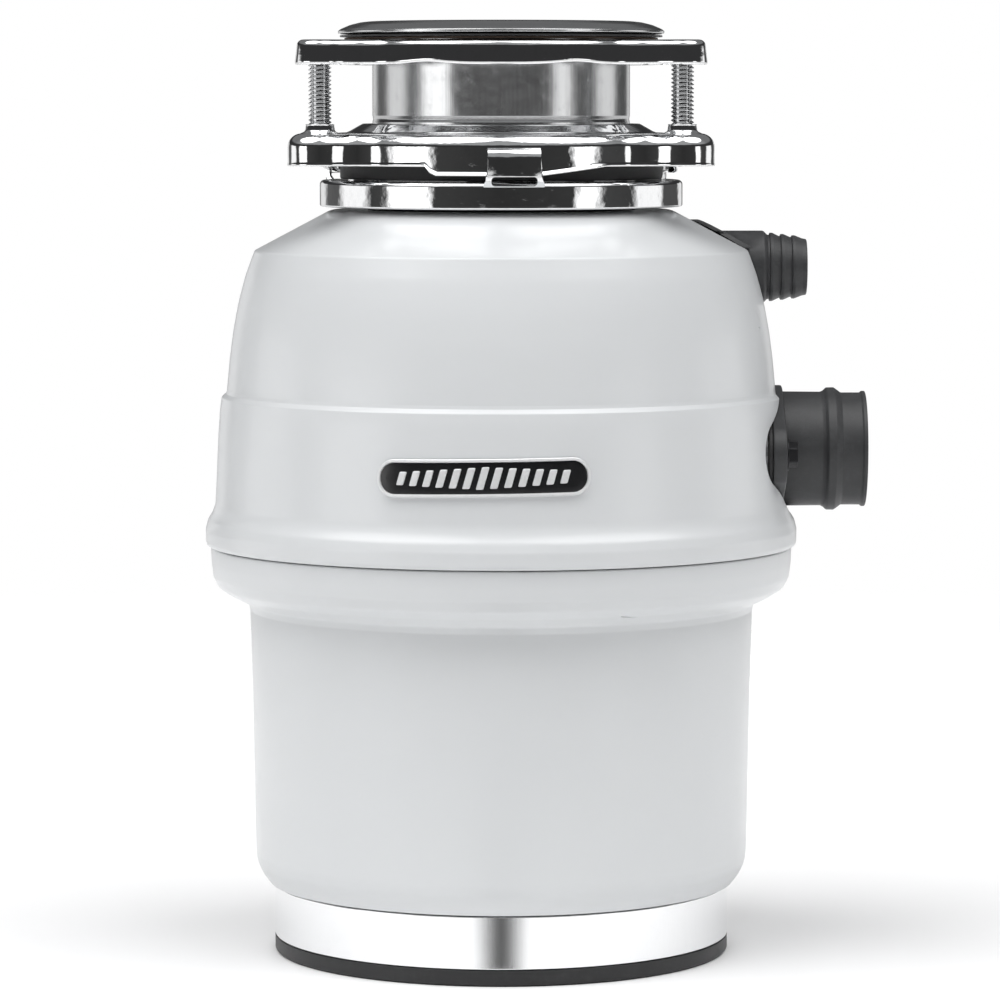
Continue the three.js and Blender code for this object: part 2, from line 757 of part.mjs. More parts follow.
function dishwasherInlet() {
  const barbStart = 93;
  const barbs = [];
  for (let i = 0; i < INLET_BARBS; i += 1) {
    const x = barbStart + 0.6 + i * INLET_BARB_PITCH;
    barbs.push([11.9 - 0.5 * i, x], [11.9 - 0.5 * i, x + 1.2], [10.6 - 0.3 * i, x + INLET_BARB_PITCH - 0.5]);
  }
  const nozzle = turned([
    [INLET_BORE, 55],
    [INLET_TUBE, 55],
    [INLET_TUBE, 92],
    [11.2, barbStart],
    ...barbs,
    [9.6, 106.5],
    [INLET_BORE, 106.5],
  ], 16);
  const saddle = cut(
    common(inletRod(16.6, 55, 86), filled(grown(UPPER_OUTSIDE, 1.5))),
    filled(grown(UPPER_OUTSIDE, CLEARANCE + 0.1)),
    inletRod(INLET_BORE, 50, 115),
  );
  const body = join(alongX(nozzle, INLET_Y, INLET_Z), saddle);
  return cut(body, filled(grown(HOPPER_OUTSIDE.slice(2), 0.4)));
}

function buildOutlet() {
  const face = OUTLET_FACE_X + CLEARANCE;
  const opening = alongX(rod(OUTLET_BORE + 0.1, 80, 120, ROUND), 0, OUTLET_Z);
  const bolts = [-1, 1].map((side) => alongX(rod(2.7, 80, 120, 8), side * OUTLET_BOLT_Y, OUTLET_Z));
  add('outlet_gasket', cut(outletPlate(20.6, 9, face, face + 1.4), opening, ...bolts), FINISH.rubber);
  const tubeHole = alongX(rod(OUTLET_TUBE + CLEARANCE, 80, 120, ROUND), 0, OUTLET_Z);
  const flange = cut(outletPlate(22, 10.4, face + 3.1, face + 6.3), tubeHole, ...bolts);
  add('outlet_flange', flange, FINISH.blackPlastic);
  add('drain_tube', drainTube(), FINISH.blackPlastic);
  for (const [place, side] of Object.entries({ front: -1, rear: 1 })) {
    const screw = join(rod(4.6, face + 6.6, face + 10.2, 6), rod(2.3, 79, face + 7, 8));
    add(`outlet_screw_${place}`, alongX(screw, side * OUTLET_BOLT_Y, OUTLET_Z), FINISH.steel);
  }
  add('dishwasher_inlet', dishwasherInlet(), FINISH.blackPlastic);
}

// ---------------------------------------------------------------- motor

function stator() {
  const { outer, bore, slot, slots, bottom, top } = STATOR;
  const shape = new THREE.Shape();
  shape.absarc(0, 0, outer, 0, 2 * Math.PI, false);
  const hole = new THREE.Path();
  for (let i = 0; i < slots; i += 1) {
    const start = (360 / slots) * i;
    const corners = [polar(bore, start), polar(bore, start + 9), polar(bore, start + 18)];
    corners.push(polar(slot, start + 19), polar(slot, start + 29));
    corners.forEach(([x, y], k) => (i + k === 0 ? hole.moveTo(x, y) : hole.lineTo(x, y)));
  }
  hole.closePath();
  shape.holes.push(hole);
  const bolts = STATOR_BOLT_ANGLES.map((angle) => {
    const [x, y] = polar(STATOR_BOLT_CIRCLE, angle);
    return rod(2.5, bottom - 1, top + 1, 8).translate(x, y, 0);
  });
  return cut(slab(shape, bottom, top, ROUND), ...bolts);
}

function windingHead(bottom, top) {
  const soft = 3.5;
  return turned([
    [43, bottom + soft],
    [43 + soft, bottom],
    [56.5 - soft, bottom],
    [56.5, bottom + soft],
    [56.5, top - soft],
    [56.5 - soft, top],
    [43 + soft, top],
    [43, top - soft],
  ], 24);
}

function rotor() {
  const bore = SHAFT_RADIUS + 0.3;
  return turned([
    [bore, 46],
    [33, 46],
    [34, STATOR.bottom],
    [39.7, STATOR.bottom],
    [39.7, STATOR.top],
    [34, STATOR.top],
    [33, 106],
    [bore, 106],
  ], 24);
}

function coolingFan() {
  const plate = ring(SHAFT_RADIUS + 0.3, 32, 107, 108.2, 24);
  const hub = ring(SHAFT_RADIUS + 0.3, 10, 107, 114, 16);
  const blades = [];
  for (let i = 0; i < 8; i += 1) {
    blades.push(box(22, 1.6, 107.5, 114).translate(20, 0, 0).rotateZ(radians(45 * i)));
  }
  return join(plate, hub, ...blades);
}

function motorShaft() {
  return turned([
    [0, 18.2],
    [SHAFT_RADIUS, 18.2],
    [SHAFT_RADIUS, SHAFT_STEP],
    [5, SHAFT_STEP],
    [5, 216],
    [4.3, 216.8],
    [0, 216.8],
  ], 12);
}

function lowerEndFrame() {
  const body = turned([
    [0, 14],
    [17, 14],
    [17, 25],
    [66.5, 25],
    [70, 27],
    [70, STATOR.bottom - 0.4],
    [66.5, STATOR.bottom - 0.4],
    [66.5, 29],
    [17, 29],
    [17, 31],
    [13.3, 31],
    [13.3, 17],
    [0, 17],
  ]);
  const feet = Object.values(BOLT_ANGLES).map((angle) => {
    const [x, y] = polar(BASE_SCREW_CIRCLE, angle);
    return rod(5.5, BASE_FLOOR + CLEARANCE, 26, 12).translate(x, y, 0);
  });
  const footHoles = Object.values(BOLT_ANGLES).map((angle) => {
    const [x, y] = polar(BASE_SCREW_CIRCLE, angle);
    return rod(2.2, 0, 20, 8).translate(x, y, 0);
  });
  const boltHoles = STATOR_BOLT_ANGLES.map((angle) => {
    const [x, y] = polar(STATOR_BOLT_CIRCLE, angle);
    return rod(2.5, 20, STATOR.bottom, 8).translate(x, y, 0);
  });
  const leadHole = rod(6.5, 20, 35, 12).translate(-47, 16, 0);
  return cut(join(body, ...feet), ...footHoles, ...boltHoles, leadHole);
}

function motorLeads() {
  const route = new THREE.CatmullRomCurve3([
    new THREE.Vector3(-49, 12, 31.4),
    new THREE.Vector3(-47.5, 15, 27),
    new THREE.Vector3(-46, 17.5, 20),
    new THREE.Vector3(-43, 20, 14),
    new THREE.Vector3(-38, 22, 9),
  ]);
  const section = new THREE.Shape().absarc(0, 0, 2.4, 0, 2 * Math.PI, false);
  return new THREE.ExtrudeGeometry(section, { steps: 6, extrudePath: route, curveSegments: 4 });
}

function buildMotor() {
  add('motor_shaft', motorShaft(), FINISH.steel);
  add('rotor_core', rotor(), FINISH.laminations);
  add('cooling_fan', coolingFan(), FINISH.castAluminium);
  add('stator_core', stator(), FINISH.laminations);
  add('winding_top', windingHead(STATOR.top + CLEARANCE, 120), FINISH.copper);
  add('winding_bottom', windingHead(33, STATOR.bottom - CLEARANCE), FINISH.copper);
  add('upper_bearing', ring(SHAFT_RADIUS + 0.25, 15, 133.5, 147, 16), FINISH.steel);
  add('lower_bearing', ring(SHAFT_RADIUS + 0.25, 13, 20, 30, 16), FINISH.steel);
  add('lower_end_frame', lowerEndFrame(), FINISH.castAluminium);
  STATOR_BOLT_ANGLES.forEach((angle, i) => {
    const bolt = join(rod(2.1, 32, STATOR_BOLT_END, 8), rod(3.4, 29.3, 32.5, 6));
    const mesh = add(`through_bolt_${i + 1}`, bolt, FINISH.steel);
    mesh.position.set(...polar(STATOR_BOLT_CIRCLE, angle), 0);
  });
  add('motor_leads', motorLeads(), FINISH.greyPlastic);
  const protector = slab(roundedRectangle(22, 26, 3), 13, 24.6, 4).translate(RESET.x, RESET.y, 0);
  add('overload_protector', protector, FINISH.blackPlastic);
  const button = turned([
    [0, 5.4],
    [RESET.radius - 1, 5],
    [RESET.radius, 6],
    [RESET.radius, 12.6],
    [0, 12.6],
  ], 16);
  add('reset_button', button.translate(RESET.x, RESET.y, 0), FINISH.redPlastic);
  const startSwitch = slab(roundedRectangle(28, 20, 2), 8, 24.6, 2).translate(22, 38, 0);
  add('start_switch', startSwitch, FINISH.greyPlastic);
}

buildSinkMount();
buildShells();
buildGrindingChamber();
buildOutlet();
buildMotor();

export default disposal;
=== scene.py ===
# %% [markdown]
# # A kitchen garbage disposal with its sink mount
# A disposal hangs under a sink. A steel flange goes through the sink's hole, three screws clamp it there,
# and the white machine twists onto it with a bright ring. Inside the white shells are a steel grinding
# chamber and a motor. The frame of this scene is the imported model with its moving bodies: it gives every
# place, every size and every joint, and this lesson adds finer meshes and finishes around it.

# %% Load the frame
import json
import math

import bmesh
import bpy
from mathutils import Matrix, Vector


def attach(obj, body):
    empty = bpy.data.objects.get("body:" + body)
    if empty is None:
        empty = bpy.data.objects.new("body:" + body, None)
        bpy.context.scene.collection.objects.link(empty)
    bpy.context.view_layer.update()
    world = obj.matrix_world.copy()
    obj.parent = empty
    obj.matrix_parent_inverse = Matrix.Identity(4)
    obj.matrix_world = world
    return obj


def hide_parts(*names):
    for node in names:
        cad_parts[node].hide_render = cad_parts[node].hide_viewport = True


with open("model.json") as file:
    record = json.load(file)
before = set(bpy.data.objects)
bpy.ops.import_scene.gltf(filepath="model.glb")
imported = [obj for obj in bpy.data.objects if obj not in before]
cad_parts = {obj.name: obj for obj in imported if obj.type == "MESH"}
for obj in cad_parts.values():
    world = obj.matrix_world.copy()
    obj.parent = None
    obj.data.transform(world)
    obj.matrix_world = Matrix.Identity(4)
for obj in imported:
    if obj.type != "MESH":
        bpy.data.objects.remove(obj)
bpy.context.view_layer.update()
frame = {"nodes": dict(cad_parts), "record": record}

MM = 0.001
ROOT = "disposer"
BOLT_CIRCLE = 70.7
BOLT_ANGLES = {"a": 210, "b": 330, "c": 90}
LUG_ANGLES = (274, 154, 34)

# %% [markdown]
# ## Camera
# A long lens at a distance keeps the machine's circles nearly flat. The eye is level with the steel mount
# and looks down a little, so the lower rings are seen from just above and the uppermost from just below. A
# short lens close by would fill the frame as well, but it would open the lower circles out, and the base,
# which is farther from the eye than the mount, would look too small.

# %% Camera
EYE_HEIGHT = 0.297
EYE_DISTANCE = 1.675
EYE_ASIDE = -0.0004
LOOK_DOWN = math.radians(4.79)
FOCAL_LENGTH = 174.2
SENSOR_WIDTH = 36
studio_camera = bpy.data.objects.new("studio_camera", bpy.data.cameras.new("studio_camera"))
bpy.context.scene.collection.objects.link(studio_camera)
studio_camera.data.lens = FOCAL_LENGTH
studio_camera.data.sensor_width = SENSOR_WIDTH
studio_camera.location = (EYE_ASIDE, -EYE_DISTANCE, EYE_HEIGHT)
studio_camera.rotation_euler = (math.pi / 2 - LOOK_DOWN, 0, 0)
bpy.context.scene.camera = studio_camera
bpy.context.scene.view_settings.view_transform = "Standard"
print("camera:", studio_camera.data.lens, "mm lens at", tuple(studio_camera.location))

# %% [markdown]
# ## Shader maths as sums
# A finish is a sheet of linked nodes. Written out one node at a time it is long and hard to follow, so one
# small class wraps a socket and lets `+`, `-`, `*`, `/` and `abs` add the Math nodes. A second class is the
# sheet itself, with one method for every other kind of node.

# %% Signals and sheets
class Signal:
    """One output of a sheet's nodes. Sums of signals add Math nodes to the sheet."""

    def __init__(self, sheet, socket):
        self.sheet, self.socket = sheet, socket

    def maths(self, operation, *values):
        return self.sheet.node("ShaderNodeMath", {"operation": operation}, dict(enumerate(values)))

    def __add__(self, other):
        return self.maths("ADD", self, other)

    def __radd__(self, other):
        return self.maths("ADD", other, self)

    def __sub__(self, other):
        return self.maths("SUBTRACT", self, other)

    def __rsub__(self, other):
        return self.maths("SUBTRACT", other, self)

    def __mul__(self, other):
        return self.maths("MULTIPLY", self, other)

    def __rmul__(self, other):
        return self.maths("MULTIPLY", other, self)

    def __truediv__(self, other):
        return self.maths("DIVIDE", self, other)

    def __rtruediv__(self, other):
        return self.maths("DIVIDE", other, self)

    def __abs__(self):
        return self.maths("ABSOLUTE", self)


class Sheet:
    """The node tree of one finish, or of the world."""

    def __init__(self, tree):
        self.tree = tree
        tree.nodes.clear()

    def node(self, kind, settings, sockets, output=0):
        """Adds a node: its settings first, then a value or a signal for each named socket."""
        made = self.tree.nodes.new(kind)
        for name, value in settings.items():
            if name == "stops":
                self.set_stops(made.color_ramp, value)
            else:
                setattr(made, name, value)
        for name, value in sockets.items():
            if isinstance(value, Signal):
                self.tree.links.new(value.socket, made.inputs[name])
            else:
                made.inputs[name].default_value = value
        return Signal(self, made.outputs[output])

    def set_stops(self, ramp, stops):
        """Each stop is a place from 0 to 1 and a grey level from 0 to 1."""
        ramp.elements.remove(ramp.elements[1])
        for i, (place, level) in enumerate(stops):
            held = ramp.elements.new(place) if i else ramp.elements[0]
            held.position = place
            held.color = (level, level, level, 1)

    def end(self, surface, kind="ShaderNodeOutputMaterial"):
        """Links the last signal to the sheet's output."""
        output = self.tree.nodes.new(kind)
        self.tree.links.new(surface.socket, output.inputs["Surface"])

    def parts(self, vector):
        """The three numbers of a vector."""
        return [self.node("ShaderNodeSeparateXYZ", {}, {0: vector}, k) for k in range(3)]

    def place(self):
        """The point on the piece, in millimetres."""
        point = self.node("ShaderNodeTexCoord", {}, {}, "Object")
        return self.node("ShaderNodeVectorMath", {"operation": "SCALE"}, {0: point, "Scale": 1 / MM})

    def stretched(self, point, factors):
        return self.node("ShaderNodeVectorMath", {"operation": "MULTIPLY"}, {0: point, 1: factors})

    def noise(self, point, size, detail=3.0, rough=0.55):
        """Cloudy noise from 0 to 1 whose features are about the given size in millimetres."""
        sockets = {"Vector": point, "Scale": 1 / size, "Detail": detail, "Roughness": rough}
        return self.node("ShaderNodeTexNoise", {}, sockets, "Fac")

    def step(self, value, low, high):
        """A smooth change from 0 to 1 as the value goes from low to high."""
        sockets = {"Value": value, "From Min": low, "From Max": high}
        return self.node("ShaderNodeMapRange", {"interpolation_type": "SMOOTHSTEP"}, sockets, "Result")

    def blend(self, share, first, second):
        """Two colours mixed by a share from 0 to 1."""
        first, second = [(*c, 1) if isinstance(c, tuple) else c for c in (first, second)]
        return self.node("ShaderNodeMix", {"data_type": "RGBA"}, {0: share, 6: first, 7: second}, 2)


# %% [markdown]
# ## Studio
# Chrome shows the room and nothing else, so the room is designed. At the height of the eye it is dark, with
# a wide bright panel on the left, a narrow one on the right and weaker ones farther round, so that the
# rings are dark in the middle and bright on both sides. A dark belt lies above the panels. Two soft boxes
# hang overhead and give the white shells their soft shading. The rest stays dim, above all behind the
# machine, so that bright edges are drawn with a thin dark line. The camera itself sees plain white. The
# room could be built from area lights, but painting it on the world gives less noise in small bright edges.

# %% Studio light
# Places round the room and their brightness. The room starts and ends behind the machine, and goes by its
# left to the camera at 0.5 and back by its right.
WALLS = [
    (0.0, 0.08), (0.03, 0.1), (0.045, 0.8), (0.08, 0.85), (0.1, 0.12), (0.15, 0.1), (0.17, 1.1), (0.23, 1.1),
    (0.25, 0.05), (0.28, 0.06), (0.3, 2.0), (0.36, 2.1), (0.38, 0.05), (0.5, 0.03), (0.625, 0.04),
    (0.64, 1.5), (0.672, 1.5), (0.69, 0.06), (0.75, 0.05), (0.77, 1.1), (0.83, 1.1), (0.85, 0.08),
    (0.92, 0.08), (0.93, 0.8), (0.955, 0.85), (0.97, 0.08),
]
BELT = (0.035, 0.035, 0.036)
DIM_FRONT, DIM_BACK = (0.34, 0.345, 0.35), (0.18, 0.182, 0.185)
LAMPS = [((-0.44, -0.24, 0.865), 3.7), ((0.42, -0.24, 0.875), 3.2)]
BELOW = (0.8, 0.8, 0.8)


def studio_world():
    world = bpy.data.worlds.new("soft_studio")
    world.use_nodes = True
    sheet = Sheet(world.node_tree)
    heading = sheet.node("ShaderNodeTexCoord", {}, {}, "Generated")
    x, y, z = sheet.parts(heading)
    turn = sheet.node("ShaderNodeMath", {"operation": "ARCTAN2"}, {0: x, 1: y * -1.0})
    share = turn * (0.5 / math.pi) + 0.5
    brightest = max(level for _, level in WALLS)
    stops = [(place, level / brightest) for place, level in WALLS]
    room = sheet.node("ShaderNodeValToRGB", {"stops": stops}, {"Fac": share})
    room = sheet.node("ShaderNodeVectorMath", {"operation": "SCALE"}, {0: room, "Scale": brightest})
    dim = sheet.blend(sheet.step(y, -0.3, 0.3), DIM_FRONT, DIM_BACK)
    low = sheet.blend(sheet.step(z, 0.1, 0.15), room, BELT)
    upper = sheet.blend(sheet.step(z, 0.3, 0.42), low, dim)
    for aim, power in LAMPS:
        sockets = {0: heading, 1: aim}
        lamp = sheet.node("ShaderNodeVectorMath", {"operation": "DOT_PRODUCT"}, sockets, "Value")
        upper = sheet.blend(sheet.step(lamp, 0.865, 0.94), upper, (power, power, power))
    whole = sheet.blend(sheet.step(z, -0.05, -0.12), upper, BELOW)
    seen = sheet.node("ShaderNodeLightPath", {}, {}, "Is Camera Ray")
    colour = sheet.blend(seen, whole, (1.0, 1.0, 1.0))
    light = sheet.node("ShaderNodeBackground", {}, {"Color": colour, "Strength": 1.0})
    sheet.end(light, "ShaderNodeOutputWorld")
    bpy.context.scene.world = world


studio_world()
print("studio: world painted")

# %% [markdown]
# ## Floor
# A pale floor gives the machine something to stand on and bounces light up under its flare. A plain square
# of floor would end in a hard line behind the machine, so this disc fades out towards its rim, where the
# white background takes over. It belongs to the studio and not to the object. A polished band near the
# floor would show nothing but white, so a black card is laid in front of it, and that gives the band its
# dark streak. The card is only there for reflections.

# %% Floor
def paper_sheet(mesh, name):
    """An empty sheet for a new material on the mesh."""
    material = bpy.data.materials.new(name)
    material.use_nodes = True
    mesh.materials.append(material)
    return Sheet(material.node_tree)


def faded_paper(sheet, tint, fade):
    """Ends the sheet as matt paper that fades away where fade nears 1."""
    paper = sheet.node("ShaderNodeBsdfDiffuse", {}, {"Color": tint})
    clear = sheet.node("ShaderNodeBsdfTransparent", {}, {})
    sheet.end(sheet.node("ShaderNodeMixShader", {}, {0: fade, 1: paper, 2: clear}))


def studio_floor(radius=1.6, solid_to=0.5, sides=96):
    turns = (2 * math.pi * i / sides for i in range(sides))
    rim = [(radius * math.cos(a), radius * math.sin(a), 0) for a in turns]
    mesh = bpy.data.meshes.new("studio_floor")
    mesh.from_pydata(rim, [], [range(sides)])
    floor = bpy.data.objects.new("studio_floor", mesh)
    bpy.context.scene.collection.objects.link(floor)
    sheet = paper_sheet(mesh, "pale_floor")
    point = sheet.place()
    tint = sheet.blend(sheet.noise(point, 180), (0.9, 0.9, 0.905), (0.93, 0.93, 0.93))
    away = sheet.node("ShaderNodeVectorMath", {"operation": "LENGTH"}, {0: point}, "Value")
    faded_paper(sheet, tint, sheet.step(away, solid_to / MM, 0.8 * radius / MM))


CARD_TINT = (0.1, 0.1, 0.1, 1)
CARD_HEIGHT = 0.3


def dark_card(low=29, high=300, spread=0.15, foot=78.9):
    """A strip of black card on the floor in front of the foot, seen only in reflections."""
    ends = [(foot + away, spread * (foot + 2 * away)) for away in (low, high)]
    corners = [(side * half, -ahead, CARD_HEIGHT) for ahead, half in ends for side in (-1, 1)]
    mesh = bpy.data.meshes.new("dark_card")
    mesh.from_pydata([[c * MM for c in corner] for corner in corners], [], [(0, 1, 3, 2)])
    card = bpy.data.objects.new("dark_card", mesh)
    bpy.context.scene.collection.objects.link(card)
    card.visible_camera = card.visible_diffuse = card.visible_shadow = False
    sheet = paper_sheet(mesh, "black_card")
    across, along = sheet.parts(sheet.place())[:2]
    half = (along * -2.0 - foot) * spread
    faded_paper(sheet, CARD_TINT, sheet.step(abs(across) / half, 0, 1))


studio_floor()
dark_card()
print("floor: pale disc and a black card")

# %% [markdown]
# ## Finishes
# Each finish is one Principled shader. What changes over a surface (colour, roughness, metal, and the
# height behind a Bump node) comes from noise worked out at the point on the piece in millimetres, so that
# the grain has its true size whatever the piece. What is the same all over (coat, sheen) is set straight on
# the shader.

# %% A finish
FINISHES = {}


class Finish(Sheet):
    """A material named after its slot, with a Principled shader at the end."""

    def __init__(self, slot):
        self.material = bpy.data.materials.new(slot)
        self.material.use_nodes = True
        super().__init__(self.material.node_tree)
        FINISHES[slot] = self.material

    def polish(self, colour, roughness, height, depth, metallic=0.0, **constants):
        """Ends the sheet. Depth is how far the bump reaches, in millimetres."""
        bump = {"Strength": 1.0, "Distance": depth * MM, "Height": height}
        sockets = {"Base Color": colour, "Roughness": roughness, "Metallic": metallic}
        sockets["Normal"] = self.node("ShaderNodeBump", {}, bump)
        sockets.update({name.replace("_", " "): value for name, value in constants.items()})
        self.end(self.node("ShaderNodeBsdfPrincipled", {}, sockets))


# %% [markdown]
# ## White moulded shell
# The shells are glossy injection-moulded plastic. Close to, they have a very faint orange peel from the
# mould, a slight cloudiness and a few small scuffs. A single flat white would look like paper, so the noise
# moves the colour, the gloss and the height a little, each at its own size.

# %% White shell
def moulded_shell(slot, light, shade, gloss, peel):
    sheet = Finish(slot)
    point = sheet.place()
    cloud = sheet.noise(point, 45, 2)
    rub = sheet.step(sheet.noise(point, 9, 5, 0.7), 0.52, 0.74)
    fleck = sheet.step(sheet.noise(point, 0.9, 1), 0.8, 0.86)
    colour = sheet.blend(cloud, light, shade)
    colour = sheet.blend(fleck * 0.25, colour, tuple(c * 0.75 for c in shade))
    height = sheet.noise(point, 1.6, 2) + sheet.noise(point, 14, 1) * 1.5
    sheet.polish(colour, rub * 0.12 + gloss, height, peel, Coat_Weight=0.25, Coat_Roughness=0.12, IOR=1.5)


moulded_shell("white_shell", (0.70, 0.714, 0.724), (0.675, 0.69, 0.702), 0.3, 0.01)
print("finishes:", sorted(FINISHES))

# %% [markdown]
# ## Black plastics and rubber
# The outlet, the inlet and the base are black, but not the same black. Moulded glass-filled plastic is a
# dark grey with a fine matt grain, the badge is glossier, and rubber is duller and bluer with a dusty
# bloom. One function makes them all from a dark and a light grey, a gloss, a grain size and the strength of
# the bloom.

# %% Dark mouldings
def dark_moulding(slot, dark, light, gloss, grain, depth, bloom=0.2, **constants):
    sheet = Finish(slot)
    point = sheet.place()
    cloud = sheet.noise(point, 16, 4, 0.6)
    speck = sheet.noise(point, grain, 3, 0.7)
    dust = sheet.step(sheet.noise(point, 6, 6, 0.75), 0.45, 0.75) * bloom
    colour = sheet.blend(cloud, dark, light)
    colour = sheet.blend(dust, colour, tuple(min(1, c * 2.2 + 0.03) for c in light))
    sheet.polish(colour, dust * 0.6 + speck * 0.12 + gloss, speck + cloud * 0.6, depth, **constants)


dark_moulding("outlet_black", (0.026, 0.0265, 0.028), (0.042, 0.043, 0.045), 0.42, 0.55, 0.05)
dark_moulding("black_plastic", (0.012, 0.012, 0.013), (0.02, 0.02, 0.021), 0.38, 0.6, 0.05)
dark_moulding("badge_black", (0.006, 0.006, 0.007), (0.012, 0.012, 0.013), 0.14, 0.4, 0.006, 0.05)
dark_moulding("black_rubber", (0.010, 0.010, 0.011), (0.017, 0.017, 0.018), 0.55, 0.8, 0.06, 0.3,
              Sheen_Weight=0.25, Sheen_Roughness=0.4)
dark_moulding("grey_plastic", (0.16, 0.165, 0.17), (0.21, 0.215, 0.22), 0.4, 0.5, 0.03)
dark_moulding("red_plastic", (0.5, 0.018, 0.014), (0.6, 0.03, 0.022), 0.24, 0.6, 0.02, 0.05)
dark_moulding("jacket_foam", (0.03, 0.031, 0.033), (0.055, 0.056, 0.058), 0.75, 1.3, 0.5, 0.35,
              Sheen_Weight=0.4, Sheen_Roughness=0.5)
dark_moulding("gasket_fibre", (0.07, 0.048, 0.036), (0.11, 0.075, 0.055), 0.7, 0.5, 0.12, 0.3)
print("finishes:", sorted(FINISHES))

# %% [markdown]
# ## Chrome on pressed steel
# The three rings are pressed from steel and plated. The press leaves the sheet slightly wavy and the
# plating keeps every ripple, so reflections wander and break up at their edges. Big soft waves and a fine
# grit under a nearly perfect mirror give that look. A mirror with no waves would look like a computer's
# chrome.

# %% Chrome and steels
def plated(slot, colour, tarnish, gloss, wave, grit, depth, ripple=6.0, grain=None, spots=0.3):
    """A metal with waves from the press, grit, and an optional drawn grain (its stretch along X, Y and Z).

    Depth is the height of the grit in millimetres, and the waves are higher than that by the ripple."""
    sheet = Finish(slot)
    point = sheet.place()
    waves = sheet.noise(point, wave, 2)
    fine = sheet.noise(sheet.stretched(point, grain) if grain else point, grit, 2, 0.5)
    stain = sheet.step(sheet.noise(point, 5, 6, 0.7), 0.5, 0.8)
    mixed = sheet.blend(stain * spots + fine * 0.15, colour, tarnish)
    height = waves * ripple + fine
    sheet.polish(mixed, stain * (gloss * 0.4 + 0.02) + fine * (gloss * 0.4) + gloss, height, depth, 1.0)


plated("ring_chrome", (0.88, 0.885, 0.89), (0.5, 0.5, 0.51), 0.03, 8, 0.9, 0.011, 16, spots=0.25)
plated("sink_flange_steel", (0.6, 0.605, 0.61), (0.42, 0.42, 0.43), 0.17, 12, 1.0, 0.014, 8,
       (1, 1, 0.03), 0.1)
plated("chamber_steel", (0.6, 0.605, 0.61), (0.38, 0.38, 0.385), 0.2, 12, 0.8, 0.012, grain=(1, 1, 6))
plated("screw_steel", (0.62, 0.625, 0.63), (0.3, 0.3, 0.31), 0.06, 4, 0.8, 0.003)
plated("plated_steel", (0.72, 0.72, 0.7), (0.45, 0.44, 0.4), 0.2, 6, 0.6, 0.015)
plated("satin_silver", (0.86, 0.865, 0.87), (0.6, 0.6, 0.61), 0.5, 6, 0.5, 0.012)
plated("cast_aluminium", (0.26, 0.263, 0.27), (0.15, 0.152, 0.157), 0.42, 6, 1.1, 0.12)
plated("lamination_steel", (0.3, 0.3, 0.31), (0.16, 0.15, 0.15), 0.4, 8, 0.7, 0.08, grain=(0.05, 0.05, 1.6))
plated("winding_copper", (0.72, 0.29, 0.12), (0.34, 0.1, 0.04), 0.3, 5, 0.9, 0.15, grain=(1, 1, 2.5))
plated("blackened_steel", (0.035, 0.035, 0.037), (0.02, 0.02, 0.02), 0.35, 4, 0.5, 0.02)
plated("trim_chrome", (0.93, 0.935, 0.94), (0.7, 0.7, 0.71), 0.07, 40, 1.0, 0.004, 20, (1, 1, 0.05), 0.1)
print("finishes:", len(FINISHES))

# %% [markdown]
# ## Rounded profiles
# Nearly every piece here is turned, moulded or pressed, and none has a knife edge. Blender's Bevel modifier
# can soften edges afterwards, but on long round pieces it is cleaner to round the corners of the profile
# before it is turned. Each profile point is a radius, a height and, where the corner is soft, its own
# fillet.

# %% Profiles
def arc_points(centre, radius, start, end, count):
    """Points along an arc from one angle to another, in radians, ends included."""
    angles = (start + (end - start) * i / (count - 1) for i in range(count))
    return [(centre[0] + radius * math.cos(a), centre[1] + radius * math.sin(a)) for a in angles]


def softened(profile):
    """The closed profile with each corner that has a fillet replaced by an arc."""
    points = []
    count = len(profile)
    for i, (r, z, *fillet) in enumerate(profile):
        corner = Vector((r, z))
        if not fillet:
            points.append((r, z))
            continue
        before = Vector(profile[i - 1][:2]) - corner
        after = Vector(profile[(i + 1) % count][:2]) - corner
        reach = 0.46 * min(before.length, after.length)
        before.normalize()
        after.normalize()
        half = before.angle(after) / 2
        if half > math.radians(89):
            points.append((r, z))
            continue
        back = min(fillet[0] / math.tan(half), reach)
        radius = back * math.tan(half)
        centre = corner + (before + after).normalized() * (radius / math.sin(half))
        steps = max(3, round((math.pi - 2 * half) / math.radians(11)) + 2)
        first, last = corner + before * back - centre, corner + after * back - centre
        swing = first.angle_signed(last)
        for k in range(steps):
            spoke = first.copy()
            spoke.rotate(Matrix.Rotation(-swing * k / (steps - 1), 2))
            points.append(tuple(centre + spoke))
    return points


# %% [markdown]
# ## From rows of points to a piece
# A piece is woven from rows of points, as a net is: each row joins the next. When both the rows and the
# points close on themselves the piece is a closed solid. Points are written in millimetres, and become
# metres where the mesh is made. Smooth shading with face-weighted normals keeps the flats flat beside their
# rounded edges.

# %% Weave, shade and place
def shaded(piece, angle=38):
    """Smooth shading with sharp edges kept, and normals that favour the large faces."""
    piece.data.shade_smooth()
    piece.data.set_sharp_from_angle(angle=math.radians(angle))
    if "even_normals" not in piece.modifiers:
        even = piece.modifiers.new("even_normals", "WEIGHTED_NORMAL")
        even.keep_sharp = True
    return piece


def solid(name, points, faces, angle=38):
    """A piece from points in millimetres."""
    mesh = bpy.data.meshes.new(name)
    mesh.from_pydata([[c * MM for c in p] for p in points], [], faces)
    shape = bmesh.new()
    shape.from_mesh(mesh)
    bmesh.ops.remove_doubles(shape, verts=shape.verts, dist=2e-6)
    bmesh.ops.recalc_face_normals(shape, faces=shape.faces)
    shape.to_mesh(mesh)
    shape.free()
    piece = bpy.data.objects.new(name, mesh)
    bpy.context.scene.collection.objects.link(piece)
    return shaded(piece, angle)


